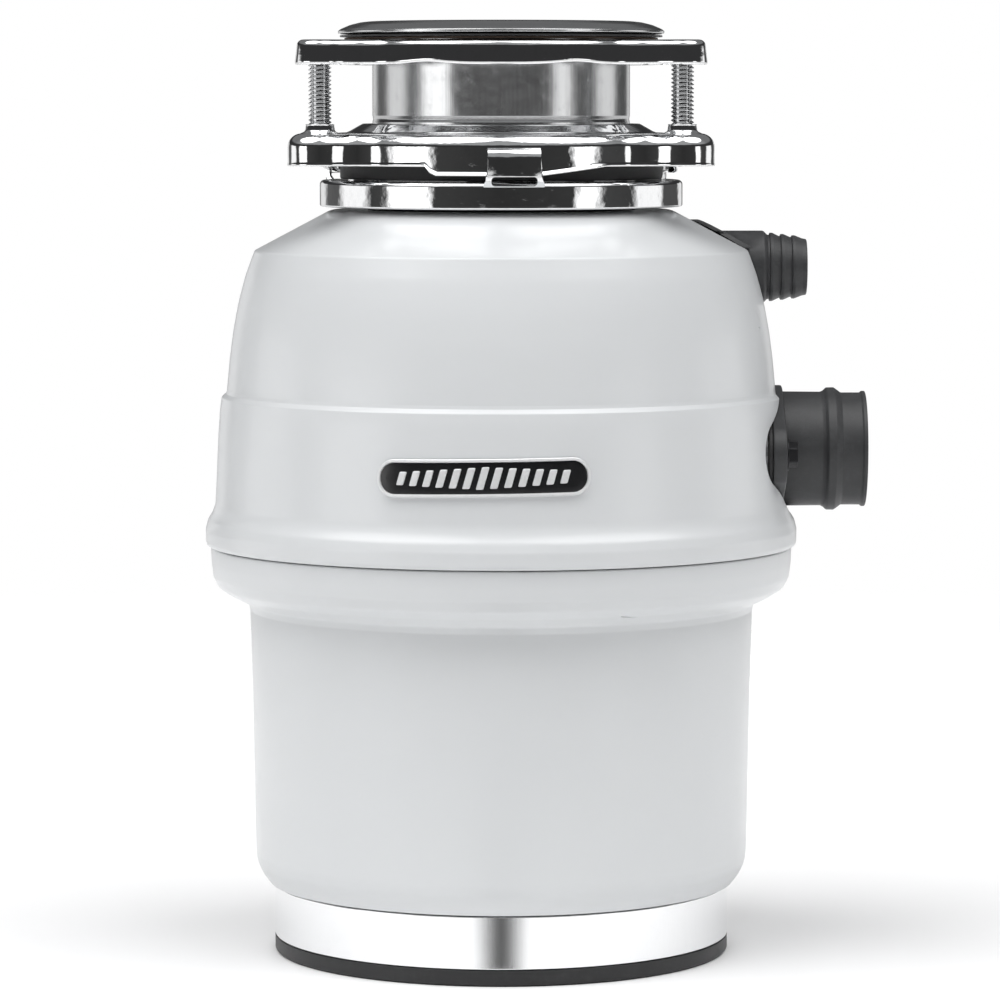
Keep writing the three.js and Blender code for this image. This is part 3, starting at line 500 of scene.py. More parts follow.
def woven(name, rows, wrap_rows=True, caps=False):
    """A piece whose rows of points are joined by four-sided faces."""
    count, width = len(rows), len(rows[0])
    faces = []
    for i in range(count if wrap_rows else count - 1):
        for j in range(width):
            a, b = i * width, (i + 1) % count * width
            k = (j + 1) % width
            faces.append((a + j, a + k, b + k, b + j))
    if caps:
        faces.append(tuple(range(width)))
        faces.append(tuple((count - 1) * width + j for j in range(width)))
    return solid(name, [p for row in rows for p in row], faces)


def turned(name, profile, sides=144, middle=None):
    """A profile of radii and heights turned about Z, or along X about a middle (y, z)."""
    rows = []
    for i in range(sides):
        turn = 2 * math.pi * i / sides
        across, up = math.cos(turn), math.sin(turn)
        if middle:
            rows.append([(z, middle[0] + r * across, middle[1] + r * up) for r, z in softened(profile)])
        else:
            rows.append([(r * across, r * up, z) for r, z in softened(profile)])
    return woven(name, rows)


def carve(piece, tools, operation="DIFFERENCE"):
    """Cuts away, joins or keeps the common part with each tool, which is then thrown away."""
    for tool in tools:
        step = piece.modifiers.new("carve", "BOOLEAN")
        step.operation, step.object, step.solver = operation, tool, "EXACT"
    even = piece.modifiers.get("even_normals")
    piece.modifiers.remove(even)
    worked = piece.evaluated_get(bpy.context.evaluated_depsgraph_get())
    mesh = bpy.data.meshes.new_from_object(worked)
    piece.modifiers.clear()
    piece.data = mesh
    for tool in tools:
        bpy.data.objects.remove(tool)
    return shaded(piece)


def moved(piece, x=0.0, y=0.0, turn=0.0):
    """Turns a piece about Z by degrees, then moves it by millimetres."""
    shift = Matrix.Translation(Vector((x, y, 0)) * MM)
    piece.data.transform(shift @ Matrix.Rotation(math.radians(turn), 4, "Z"))
    return piece


def fitted(piece, slot, body, *nodes, finish=None):
    """Gives a piece its finish, and lets it ride on its body in place of its plain nodes."""
    piece.data.materials.clear()
    piece.data.materials.append(FINISHES[finish or slot])
    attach(piece, body)
    if nodes:
        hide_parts(*nodes)
    print(f"{piece.name}: {len(piece.data.polygons)} faces")
    return piece


def polar(radius, degrees):
    return radius * math.cos(math.radians(degrees)), radius * math.sin(math.radians(degrees))


def eased(piece, soft, steps=2):
    """Rounds the sharp edges of a piece by a bevel before its normals are evened."""
    edge = piece.modifiers.new("soft_edge", "BEVEL")
    edge.width, edge.segments, edge.limit_method = soft * MM, steps, "ANGLE"
    edge.angle_limit = math.radians(50)
    piece.modifiers.move(1, 0)
    return piece


def prism(name, outline, low, high, soft=0.0, steps=2):
    """A flat outline of points raised from one height to another, with soft edges."""
    rows = [[(x, y, z) for x, y in outline] for z in (low, high)]
    piece = woven(name, rows, wrap_rows=False, caps=True)
    return eased(piece, soft, steps) if soft else piece


def rounded_rectangle(width, depth, radius, count=8):
    x, y = width / 2 - radius, depth / 2 - radius
    quarter = math.pi / 2
    corners = [(x, y), (-x, y), (-x, -y), (x, -y)]
    points = []
    for k, corner in enumerate(corners):
        points += arc_points(corner, radius, k * quarter, (k + 1) * quarter, count)
    return points


def rod(radius, low, high, sides=48, x=0.0, y=0.0):
    """A plain round cutting tool."""
    circle = [polar(radius, 360 * i / sides) for i in range(sides)]
    return moved(prism("tool", circle, low, high), x, y)


def along_x(piece, y, z):
    """Lays a piece made along Z so that it runs along X, at a height and place in millimetres."""
    piece.data.transform(Matrix.Translation(Vector((0, y, z)) * MM) @ Matrix.Rotation(math.pi / 2, 4, "Y"))
    return piece


# %% [markdown]
# ## White shells
# The outer cover is two deep mouldings that meet at a bead below the outlet. The upper one is a cone, a
# crisp shoulder, a slightly swelling wall with one small step, and the bead. The lower one flares out under
# the bead and drops straight to the trim band. Both are turned from one profile each, and the openings for
# the outlet and the inlet are then cut through, as the mould's side cores would leave them.

# %% Outlet shape and shell tools
OUTLET_Z = 174.6
OUTLET_BOLT_Y = 29
INLET_Y, INLET_Z = 16, 237


def two_bolt_outline(middle, end, count=24):
    """The outlet flange's shape: a round middle that narrows to two round ends, on local x (down) and y."""
    lean = math.acos((middle - end) / OUTLET_BOLT_Y)
    quarter = math.pi / 2
    arcs = [
        ((0, OUTLET_BOLT_Y), end, quarter - lean, quarter + lean),
        ((0, 0), middle, quarter + lean, 3 * quarter - lean),
        ((0, -OUTLET_BOLT_Y), end, 3 * quarter - lean, 3 * quarter + lean),
        ((0, 0), middle, 3 * quarter + lean, 5 * quarter - lean),
    ]
    return [p for centre, radius, start, stop in arcs for p in arc_points(centre, radius, start, stop, count)]


def outlet_slab(name, middle, end, low, high, soft=0.0):
    return along_x(prism(name, two_bolt_outline(middle, end), low, high, soft), 0, OUTLET_Z)


def x_rod(radius, low, high, y=INLET_Y, z=INLET_Z, sides=64):
    return along_x(rod(radius, low, high, sides), y, z)


def shell_notch(heading, height, radius, width, tall, deep):
    """A small crescent dent tool at a heading in degrees right of the front."""
    shape = bmesh.new()
    bmesh.ops.create_icosphere(shape, subdivisions=3, radius=MM)
    mesh = bpy.data.meshes.new("tool")
    shape.to_mesh(mesh)
    tool = bpy.data.objects.new("tool", mesh)
    bpy.context.scene.collection.objects.link(tool)
    aim = math.radians(heading)
    spot = Vector((math.sin(aim) * radius, -math.cos(aim) * radius, height)) * MM
    size = Matrix.Diagonal((width / 2, deep, tall / 2, 1))
    tilt = Matrix.Rotation(math.radians(8), 4, "Y")
    mesh.transform(Matrix.Translation(spot) @ Matrix.Rotation(aim, 4, "Z") @ tilt @ size)
    return tool


# %% Upper shell
UPPER_OUTSIDE = [
    (46.5, 257.5, 0.6), (58.6, 257.5, 7), (85.2, 243.4, 1.6), (88, 235.9, 30), (90.6, 226.7, 90),
    (92.7, 215.3, 90), (93.9, 206.0, 90), (94.9, 195.4, 0.7), (95.2, 194.2, 0.5), (96.7, 192.9, 0.9),
    (97.3, 188.9, 30), (97.9, 180.3, 90), (98.7, 162.8, 90), (99.05, 156, 8), (100.1, 152.8, 8),
    (101.6, 150.6, 5), (102.45, 147.4, 4), (102.4, 143.2, 2), (102, 141.9, 0.5),
]
UPPER_INSIDE = [
    (100.4, 141.9, 0.4), (100.2, 146.5, 2), (97.4, 153, 4), (96.3, 170), (94.9, 190.5, 1), (93, 195, 1),
    (90.9, 213), (86.3, 235, 3), (83.4, 241.8, 2), (58.4, 255.6, 4), (46.5, 255.7, 0.5),
]
upper = turned("upper_shell_moulding", UPPER_OUTSIDE + UPPER_INSIDE, 256)
outlet_way = outlet_slab("tool", 22.6, 11, 70, 115)
inlet_way = x_rod(13.1, 55, 115)
carve(upper, [outlet_way, inlet_way, shell_notch(72.5, 217.5, 92.6, 3.4, 1.1, 0.8)])
fitted(upper, "white_shell", ROOT, "upper_shell")

# %% Lower shell
LOWER_OUTSIDE = [
    (100.75, 141.5, 0.6), (100.5, 135.8, 20), (99.9, 130.9, 4), (98.2, 127.4, 4), (94.1, 124.8, 8),
    (87.9, 121.7, 1.6), (87.2, 119.2, 3), (86.4, 93.2, 90), (85.6, 44.4, 60), (85.35, 34.5, 10),
    (84.9, 31.2, 8), (83.3, 27.7, 8), (80.7, 24.25, 0.7),
]
LOWER_INSIDE = [
    (79.2, 24.25, 0.4), (81.6, 28.6, 4), (83.3, 33.5, 5), (83.6, 45), (84.4, 93), (85.2, 118.4, 2),
    (86, 123, 2), (93, 126.8, 4), (97.6, 130, 4), (98.5, 136, 10), (98.8, 141.5, 0.4),
]
lower = turned("lower_shell_moulding", LOWER_OUTSIDE + LOWER_INSIDE, 256)
carve(lower, [shell_notch(27.5, 124.6, 94.6, 9.5, 1.3, 1.4)])
fitted(lower, "white_shell", ROOT, "lower_shell")

# %% [markdown]
# ## Trim band and base
# A polished band is rolled round the foot and a black base plate closes the machine below. The base is a
# moulding with a recess for the wiring cover, a round entry for the cable, a well for the red reset button
# and three countersunk screws. Shallow rings on its underside stiffen it, as on most moulded bases.

# %% Trim band
BAND = [(78.9, 5.8, 0.35), (78.9, 23.8, 0.5), (76.9, 23.8, 0.4), (76.9, 5.8, 0.3)]
fitted(turned("trim_band_rolled", BAND, 256), "ring_chrome", ROOT, "trim_band", finish="trim_chrome")

# %% Base plate
COVER = (-38, 24)
COVER_WIDTH, COVER_DEPTH = 44, 30
COVER_SCREW = (COVER[0] - COVER_WIDTH / 2 + 4, COVER[1])
BASE_SCREW_CIRCLE = 66
RESET = (30, -45)
CABLE = (-30, -38)
BASE = [
    (0, 0.9), (24, 0.9, 0.2), (25, 0.1, 0.3), (27, 0.1, 0.3), (28, 0.9, 0.2), (70.2, 0.9, 0.3),
    (71.4, 0, 0.4), (78.1, 0, 0.5), (78.9, 0.9, 0.6), (78.9, 5.5, 0.25), (76.4, 5.5), (76.4, 9, 0.3),
    (74.4, 9, 0.3), (74.4, 5), (0, 5),
]
base = turned("base_plate_moulded", BASE, 192)
well = moved(turned("tool", [(6.6, 4.5), (8.6, 4.5), (8.6, 12.6, 0.4), (6.6, 12.6, 0.4)], 64), *RESET)
carve(base, [well], "UNION")
pocket = moved(prism("tool", rounded_rectangle(COVER_WIDTH, COVER_DEPTH, 4), -1, 3.2), *COVER)
access = moved(prism("tool", rounded_rectangle(COVER_WIDTH - 14, COVER_DEPTH - 14, 3), 0, 8), *COVER)
holes = [pocket, access, rod(6.6, -1, 13, x=RESET[0], y=RESET[1])]
holes += [rod(1.6, 0, 8, x=COVER_SCREW[0], y=COVER_SCREW[1])]
holes += [rod(11.1, -1, 8, x=CABLE[0], y=CABLE[1]), rod(14.2, -1, 1.9, x=CABLE[0], y=CABLE[1])]
for angle in BOLT_ANGLES.values():
    x, y = polar(BASE_SCREW_CIRCLE, angle)
    holes += [rod(4.6, -1, 2.6, x=x, y=y), rod(2.3, 0, 8, x=x, y=y)]
carve(base, holes)
fitted(base, "black_plastic", ROOT, "base_plate")

# %% [markdown]
# ## Small parts of the underside
# The electrician opens a pressed steel cover to reach the wires, and the cable comes in through a rubber
# bushing. Screws are turned from one profile and their slots or crosses are cut afterwards, just as a screw
# maker forms the head first and broaches the drive into it.

# %% Cover, bushing, screws and button
COVER_GAP = 0.8
cover_outline = rounded_rectangle(COVER_WIDTH - COVER_GAP, COVER_DEPTH - COVER_GAP, 3.6)
cover = moved(prism("wiring_cover_pressed", cover_outline, 1.9, 2.9, 0.3, 3), *COVER)
carve(cover, [rod(1.7, 0, 8, x=COVER_SCREW[0], y=COVER_SCREW[1])])
fitted(cover, "plated_steel", ROOT, "wiring_cover")


def pan_screw(name, head, shank, low, under, tip):
    """A domed screw with a cross in its head, which points down."""
    profile = [
        (0, low), (head * 0.55, low, 0.6), (head, low + 0.7, 0.5), (head, under, 0.2), (shank, under),
        (shank, tip - 0.8, 0.3), (shank * 0.6, tip), (0, tip),
    ]
    screw = turned(name, profile, 48)
    bar = head * 0.6
    cross = [prism("tool", rounded_rectangle(2 * a, 2 * b, 0.15, 3), low - 1, low + 1.1) for a, b in
             ((bar, head * 0.11), (head * 0.11, bar))]
    return carve(screw, cross)


cover_screw = moved(pan_screw("cover_screw_turned", 3.4, 1.3, 0.4, 1.6, 9), *COVER_SCREW)
fitted(cover_screw, "plated_steel", ROOT, "cover_screw")
for letter, angle in BOLT_ANGLES.items():
    screw = pan_screw(f"base_screw_{letter}_turned", 4.2, 1.9, 0.5, 2.3, 18)
    moved(screw, *polar(BASE_SCREW_CIRCLE, angle), turn=angle)
    fitted(screw, "plated_steel", ROOT, f"base_screw_{letter}")

BUSHING = [
    (8, 0.6, 0.4), (9, 0.4, 0.3), (13.8, 0.4, 0.5), (13.8, 1.6, 0.3), (10.8, 1.6, 0.3), (10.8, 9.5, 0.4),
    (8, 9.5, 0.5),
]
fitted(moved(turned("cable_bushing_moulded", BUSHING, 96), *CABLE), "black_rubber", ROOT, "cable_bushing")
BUTTON = [(0, 5.3), (3.6, 5.2, 1.2), (5.4, 5.4, 0.7), (6.2, 6.2, 0.6), (6.2, 12.6, 0.3), (0, 12.6)]
fitted(moved(turned("reset_button_moulded", BUTTON, 96), *RESET), "red_plastic", "reset_button_body",
       "reset_button")

# %% [markdown]
# ## Badge
# A small plaque is glued to the front, tilted by about a degree. It carries no name here: a black field
# inside a bright raised rim, with a row of plain slanted bars. Flat pieces are first drawn flat, as loops
# of points that step inwards as they rise, and are then wrapped onto the curved wall.

# %% Badge
BADGE_MIDDLE = (-6, 172)
BADGE_TILT = math.radians(0.9)
WALL_HIGH, WALL_LOW = (97.9, 180.3), (98.7, 162.8)
WALL_RADIUS = 98.3
PLAQUE_WIDTH, PLAQUE_HEIGHT, PLAQUE_CORNER = 71, 12.6, 6


def on_wall(u, v, out):
    """A point of the badge: sideways and up from its middle, and out from the shell's wall."""
    across = BADGE_MIDDLE[0] + u * math.cos(BADGE_TILT) - v * math.sin(BADGE_TILT)
    up = BADGE_MIDDLE[1] + v * math.cos(BADGE_TILT) + u * math.sin(BADGE_TILT)
    widening = WALL_LOW[0] - WALL_HIGH[0]
    radius = WALL_HIGH[0] + (WALL_HIGH[1] - up) * widening / (WALL_HIGH[1] - WALL_LOW[1]) + out
    aim = across / WALL_RADIUS
    return radius * math.sin(aim), -radius * math.cos(aim), up


def stepped(name, outline, steps):
    """A raised shape on the wall. Each step is how far in from the outline, and how far out from the wall."""
    rows = [[on_wall(u, v, out) for u, v in outline(inset)] for inset, out in steps]
    return woven(name, rows, wrap_rows=False, caps=True)


def plaque_outline(inset, flat=1.0):
    """The plaque's outline with points along its long sides, so that it can follow the curved wall.

    Flat is 1 for the true outline and 0 to bring its two sides together on the middle line."""
    width, height = PLAQUE_WIDTH - 2 * inset, PLAQUE_HEIGHT - 2 * inset
    corners = rounded_rectangle(width, height, PLAQUE_CORNER - inset, 24)
    points = []
    for i, (u, v) in enumerate(corners):
        next_u, next_v = corners[(i + 1) % len(corners)]
        parts = 30 if abs(next_u - u) > 20 else 1
        for k in range(parts):
            points.append((u + (next_u - u) * k / parts, (v + (next_v - v) * k / parts) * flat))
    return points


PLAQUE = [(0.1, 0.05, 0), (0.1, 0.05, 1), (0.05, 0.7, 1), (0.6, 0.9, 1), (3, 0.95, 1), (3, 0.95, 0)]
RIM = [(0.05, 0.3), (0, 1.1), (0.25, 1.42), (0.6, 1.48), (0.95, 1.36), (1.15, 1.0), (1.15, 0.8), (0.6, 0.6)]
plaque_rows = [[on_wall(u, v, out) for u, v in plaque_outline(inset, flat)] for inset, out, flat in PLAQUE]
fitted(woven("badge_plaque", plaque_rows, wrap_rows=False), "badge_black", ROOT, "badge_plate")
rim_rows = [[on_wall(u, v, out) for u, v in plaque_outline(inset)] for inset, out in RIM]
fitted(woven("badge_rim", rim_rows), "ring_chrome", ROOT, finish="satin_silver")


def bar_outline(middle, half_width, half_height, lean):
    corner = 0.34 * half_width

    def outline(inset):
        points = rounded_rectangle(2 * (half_width - inset), 2 * (half_height - inset), max(0.1, corner), 4)
        return [(middle + u + v * lean, v) for u, v in points]

    return outline


BAR_STEPS = [(0, 0.6), (0, 1.05), (0.12, 1.3), (0.35, 1.42)]
BARS, BAR_SPACING = 13, 4.5
for i in range(BARS):
    middle = (i - (BARS - 1) / 2) * BAR_SPACING
    tall = 3.7 - 0.055 * abs(middle)
    bar = stepped(f"badge_bar_{i + 1:02d}", bar_outline(middle, 1.25, tall, 0.3), BAR_STEPS)
    fitted(bar, "ring_chrome", ROOT, finish="satin_silver")

# %% [markdown]
# ## Drain outlet
# Waste water leaves through a black tube with a bead near its end, held to the drain chamber by a two-bolt
# flange with a rubber gasket. The tube is turned about X; the flange and gasket are flat two-bolt shapes.
# The hexagon heads are blackened, so that they do not stand out on the black flange.

# %% Drain outlet
FACE = 90.9
TUBE = [
    (17.5, 92.6, 0.3), (21.5, 92.6, 0.3), (21.5, 93.7, 0.3), (19.85, 93.9, 0.4), (19.7, 110.6, 1.2),
    (20.2, 111.6, 0.6), (21.2, 112.6, 0.9), (21.25, 115.2, 0.9), (20.1, 116.8, 0.7), (19.45, 117.6, 0.8),
    (19.45, 124.2, 0.5), (20, 124.8, 0.35), (20, 126, 0.4), (17.5, 126, 0.8),
]
fitted(turned("drain_tube_moulded", TUBE, 144, (0, OUTLET_Z)), "outlet_black", ROOT, "drain_tube")


def outlet_holes(bore):
    """Cutting tools for the middle of the flange or the gasket and for its two bolt holes."""
    bolts = [x_rod(2.7, 80, 120, side * OUTLET_BOLT_Y, OUTLET_Z) for side in (-1, 1)]
    return [x_rod(bore, 80, 120, 0, OUTLET_Z, 96), *bolts]


flange = outlet_slab("outlet_flange_moulded", 22, 10.4, FACE + 1.5, FACE + 6.3, 0.6)
socket = x_rod(21.6, 80, FACE + 3.1, 0, OUTLET_Z, 96)
carve(flange, [socket, *outlet_holes(20.05)])
fitted(flange, "outlet_black", ROOT, "outlet_flange")
gasket = outlet_slab("outlet_gasket_moulded", 21.4, 9.8, FACE, FACE + 1.4, 0.3)
carve(gasket, outlet_holes(17.6))
fitted(gasket, "black_rubber", ROOT, "outlet_gasket")
OUTLET_SCREW = [
    (0, 78), (2.4, 78, 0.5), (2.4, FACE + 6.4), (5.6, FACE + 6.4, 0.2), (5.6, FACE + 7.2, 0.4),
    (0, FACE + 7.2),
]
for side, place in ((-1, "front"), (1, "rear")):
    screw = turned(f"outlet_screw_{place}_headed", OUTLET_SCREW, 48, (side * OUTLET_BOLT_Y, OUTLET_Z))
    head = prism("tool", [polar(4.5, 60 * i) for i in range(6)], FACE + 6.8, FACE + 10.2, 0.4)
    carve(screw, [along_x(head, side * OUTLET_BOLT_Y, OUTLET_Z)], "UNION")
    fitted(screw, "screw_steel", ROOT, f"outlet_screw_{place}", finish="blackened_steel")

# %% [markdown]
# ## Dishwasher inlet
# A dishwasher may drain through the machine, by a hose pushed over a barbed spigot on the shoulder. Each
# barb rises slowly and falls sharply, so that the hose slides on but not off. The spigot stands in a thin
# saddle that follows the cone of the shell, made by keeping what a round bar and a thin layer of the cone
# share.

# %% Dishwasher inlet
NOZZLE = [(7.8, 72), (12.7, 72), (12.7, 91.4, 1.4), (11.25, 92.8, 0.6), (11.2, 93.5, 0.2)]
for i in range(3):
    start, crest, root = 93.6 + 3.9 * i, 11.95 - 0.45 * i, 10.7 - 0.35 * i
    NOZZLE += [(crest, start, 0.25), (crest, start + 0.9, 0.5), (root, start + 3.5, 0.3)]
NOZZLE += [(9.7, 106.5, 0.5), (7.8, 106.5, 0.6)]
inlet = turned("dishwasher_inlet_moulded", NOZZLE, 96, (INLET_Y, INLET_Z))
SADDLE_OUT = [(58, 258.6), (62.9, 257.8), (86.3, 244.6), (89.4, 236.3), (92.2, 226.8), (94.3, 215.2)]
SADDLE_IN = [(93.1, 215.2), (91.0, 226.8), (88.4, 235.9), (86.2, 242.9), (62.5, 256.9), (58, 257.6)]
saddle = turned("tool", SADDLE_OUT + SADDLE_IN, 192)
carve(saddle, [x_rod(16.6, 55, 86, sides=96)], "INTERSECT")
carve(saddle, [x_rod(12, 50, 95)])
carve(inlet, [saddle], "UNION")
fitted(inlet, "outlet_black", ROOT, "dishwasher_inlet")

# %% [markdown]
# ## Sink flange and its seals
# The flange and its sleeve are spun from one piece of stainless steel: a domed rim that sits in the sink,
# and a sleeve that goes down through the hole. Its rim is a thin rolled edge, a second thin line below it
# is the rubber seal, and the sleeve has a shallow bead and the groove that the snap ring springs into.

# %% Sink flange, seals and snap ring
SLEEVE = [
    (42.8, 274.2, 0.4), (44.4, 274.2, 0.4), (44.4, 283.5, 0.15), (43.6, 283.6), (43.6, 285.0),
    (44.4, 285.1, 0.15), (44.4, 287.6, 0.4), (44.15, 288.6, 0.8), (44.4, 289.8, 0.8), (44.4, 317.0, 0.8),
    (50, 317.75, 1),
    (55.3, 317.7, 0.5), (56.2, 318.0, 0.3), (56.2, 318.8, 0.4), (55.2, 319.5, 1.5), (52.2, 320.8, 6),
    (48.6, 321.7, 8), (45.8, 322, 1.2), (44.4, 321.9, 1.0), (43, 320.6, 1.2), (42.8, 317, 1.2),
]
fitted(turned("sink_flange_spun", SLEEVE, 256), "sink_flange_steel", ROOT, "sink_flange")
SEAL = [(45, 316.7, 0.15), (55.6, 316.7, 0.25), (55.6, 317.3, 0.25), (45, 317.3, 0.15)]
fitted(turned("flange_seal_moulded", SEAL, 192), "black_rubber", ROOT, "flange_seal")
FIBRE = [(45.2, 315.8, 0.1), (54, 315.8, 0.2), (54, 316.4, 0.2), (45.2, 316.4, 0.1)]
fitted(turned("fibre_gasket_cut", FIBRE, 192), "gasket_fibre", "sink_clamp", "fibre_gasket")


def snap_ring(start=66, sweep=348, steps=150):
    """A split ring of square wire with soft corners. Its start and sweep are in degrees."""
    section = softened([(44, 283.7, 0.3), (46.1, 283.7, 0.4), (46.1, 284.85, 0.4), (44, 284.85, 0.3)])
    rows = []
    for i in range(steps + 1):
        across, up = polar(1, start + sweep * i / steps)
        rows.append([(r * across, r * up, z) for r, z in section])
    return woven("snap_ring_bent", rows, wrap_rows=False, caps=True)


fitted(snap_ring(), "plated_steel", ROOT, "snap_ring")

# %% [markdown]
# ## Pressed rings with ears
# The backup ring and the mounting ring are both pressed from a flat blank with three ears: a flat top, a
# softly rounded edge and a skirt turned down all round. Their outline is three ears and a disc joined by
# hollow fillets. Moving such an outline inwards only changes the radii of its arcs, so the same number of
# points serves at every depth, and the rounded edge, the skirt and its inside are woven from moved
# outlines.

# %% Eared outlines
def eared_outline(disc, ear, fillet):
    """The disc, its three ears and their fillets, as points that match at any inset."""
    reach_disc, reach_ear = disc + fillet, ear + fillet
    cosine = (BOLT_CIRCLE**2 + reach_disc**2 - reach_ear**2) / (2 * BOLT_CIRCLE * reach_disc)
    swing = math.acos(cosine)
    points = []
    for degrees in sorted(BOLT_ANGLES.values()):
        aim = math.radians(degrees)
        centre = Vector((math.cos(aim), math.sin(aim))) * BOLT_CIRCLE
        before = Vector((math.cos(aim - swing), math.sin(aim - swing))) * reach_disc
        after = Vector((math.cos(aim + swing), math.sin(aim + swing))) * reach_disc
        open_angle = aim - math.atan2(*reversed(before - centre))
        half = open_angle % (2 * math.pi)
        bend = half - swing
        points += arc_points(before, fillet, aim - swing + math.pi, aim - swing + math.pi - bend, 15)[:-1]
        points += arc_points(centre, ear, aim - half, aim + half, 33)[:-1]
        points += arc_points(after, fillet, aim + swing - math.pi + bend, aim + swing - math.pi, 15)[:-1]
        points += arc_points((0, 0), disc, aim + swing, aim + 2 * math.pi / 3 - swing, 41)[:-1]
    return points


class PressedRing:
    """The rows of an eared ring, each at an inset from its outline."""

    def __init__(self, disc, ear, fillet):
        self.sizes = (disc, ear, fillet)
        self.rows = []

    def edge(self, inset, height, lift=None):
        """A row inset from the outline. Lift changes its height and its inset by its angle."""
        disc, ear, fillet = self.sizes
        row = []
        for x, y in eared_outline(disc - inset, ear - inset, fillet + inset):
            up, out = lift(math.degrees(math.atan2(y, x)) % 360) if lift else (0, 0)
            grow = 1 + out / math.hypot(x, y)
            row.append((x * grow, y * grow, height + up))
        self.rows.append(row)

    def circle(self, radius, height):
        """A round row whose points face those of the outline."""
        row = []
        for x, y in eared_outline(*self.sizes):
            away = math.hypot(x, y)
            row.append((x / away * radius, y / away * radius, height))
        self.rows.append(row)

    def edges(self, *rows, lift=None):
        for inset, height in rows:
            self.edge(inset, height, lift)

    def circles(self, *rows):
        for radius, height in rows:
            self.circle(radius, height)

    def rounded(self, inset, height, radius, count=7):
        """A quarter of a round edge, from the flat top over to the skirt."""
        for across, up in arc_points((inset + radius, height - radius), radius, math.pi / 2, math.pi, count):
            self.edge(across, up)


# %% [markdown]
# ## Backup ring
# The upper ring is pushed up against the sink by the screws. Seen from a little below, its skirt is a dark
# band with a thin bright lower edge that waves by nearly a millimetre between the ears.

# %% Backup ring
def backup_wave(angle):
    """The skirt's lower edge is a little higher in the hollows beside the ears."""
    from_ear = abs((angle - 30) % 120 - 60)
    return 0.9 * math.exp(-(((from_ear - 34) / 9) ** 2)), 0


def backup_ring():
    ring = PressedRing(disc=57, ear=8.4, fillet=14)
    ring.circles((45.3, 315.2), (45.6, 315.5), (47.5, 315.5))
    ring.edge(4.2, 315.5)
    ring.rounded(0.6, 315.5, 2.2)
    ring.edge(0.3, 310.5)
    lip = [(0.02, 308.2), (0, 307.6), (0.25, 307.15), (0.8, 307.1), (1.35, 307.25), (1.6, 307.8)]
    ring.edges(*lip, lift=backup_wave)
    ring.edges((1.6, 311.6), (2.2, 313.1), (3.6, 313.9))
    ring.circles((47.5, 313.9), (45.5, 314), (45.2, 314.3))
    return woven("backup_ring_pressed", ring.rows)


fitted(backup_ring(), "ring_chrome", "sink_clamp", "backup_ring")

# %% [markdown]
# ## Mounting ring
# The middle ring carries the three threaded collars for the screws, a cone at its middle that rides on the
# snap ring, and three ramps: where the skirt's lower edge hangs low it is rolled outwards, and it then
# slopes up. The hooks of the lower ring slide along this edge and are drawn up by it.

# %% Mounting ring
RAMP_DROP, LIP_ROLL = 3.0, 1.15


def ramp_edge(angle):
    """How far the skirt's edge hangs down, and how far its rolled lip stands out, at an angle."""
    drop, roll = 0.0, 0.0
    for lug in LUG_ANGLES:
        past = (angle - lug + 180) % 360 - 180
        enter = min(1, max(0, (past + 28.5) / 2.6))
        leave = min(1, max(0, (31 - past) / 22.7))
        share = min(enter * enter * (3 - 2 * enter), leave)
        drop = max(drop, share)
        roll = max(roll, min(1, share * 6))
    return -RAMP_DROP * drop, LIP_ROLL * roll


def low_edge(part):
    """The ramp's edge for a row at some part of the lip, from 0 on the skirt to 1 on the lip."""

    def lift(angle):
        drop, roll = ramp_edge(angle)
        return drop, roll * part

    return lift


RAMP_LIP = [
    (0, 274.7, 0), (0, 274.2, 0), (-0.1, 273.7, 0.35), (-0.15, 273.3, 0.9), (0, 272.95, 1),
    (0.7, 272.9, 0.8), (1.5, 273.1, 0.4), (1.8, 273.8, 0),
]


def mounting_ring():
    ring = PressedRing(disc=60.5, ear=10.9, fillet=12)
    ring.circles((45.7, 286.6), (46.0, 287), (47.7, 287), (48.5, 286.6), (52.2, 284.5))
    ring.circles((53.6, 283.95), (54.6, 283.9))
    ring.edge(5.4, 283.9)
    ring.rounded(0, 283.9, 4.6, 10)
    ring.edge(0, 276.4)
    for inset, height, part in RAMP_LIP:
        ring.edge(inset, height, low_edge(part))
    ring.edges((1.8, 277), (2.6, 280.2), (4.0, 281.7), (6.0, 282.1))
    ring.circles((53.6, 282.1), (51.9, 282.5), (48, 284.9), (46.6, 285.2), (45.6, 285.6))
    return woven("mounting_ring_pressed", ring.rows)


fitted(mounting_ring(), "ring_chrome", ROOT, "mounting_ring")
COLLAR = [
    (4.0, 281.4, 0.2), (5.0, 281.4, 0.3), (5.0, 282.2), (7.2, 282.3), (7.2, 283.6), (6.6, 283.95, 1.0),
    (5.1, 284.6, 1.0), (4.8, 286.6, 0.5), (4.9, 287.0, 0.2), (4.0, 287.0, 0.3),
]
for letter, angle in BOLT_ANGLES.items():
    collar = moved(turned(f"threaded_collar_{letter}", COLLAR, 64), *polar(BOLT_CIRCLE, angle))
    fitted(collar, "ring_chrome", ROOT)

# %% [markdown]
# ## Mounting screws
# Each screw is a 5/16 inch machine screw with eighteen threads to the inch. The thread could be drawn with
# a bump map, but it shows as teeth against the light, so it is woven: four rows of points for each turn
# climb round the core and join the row four places on when they have gone once round.

# %% Mounting screws
THREAD_PITCH = 1.411


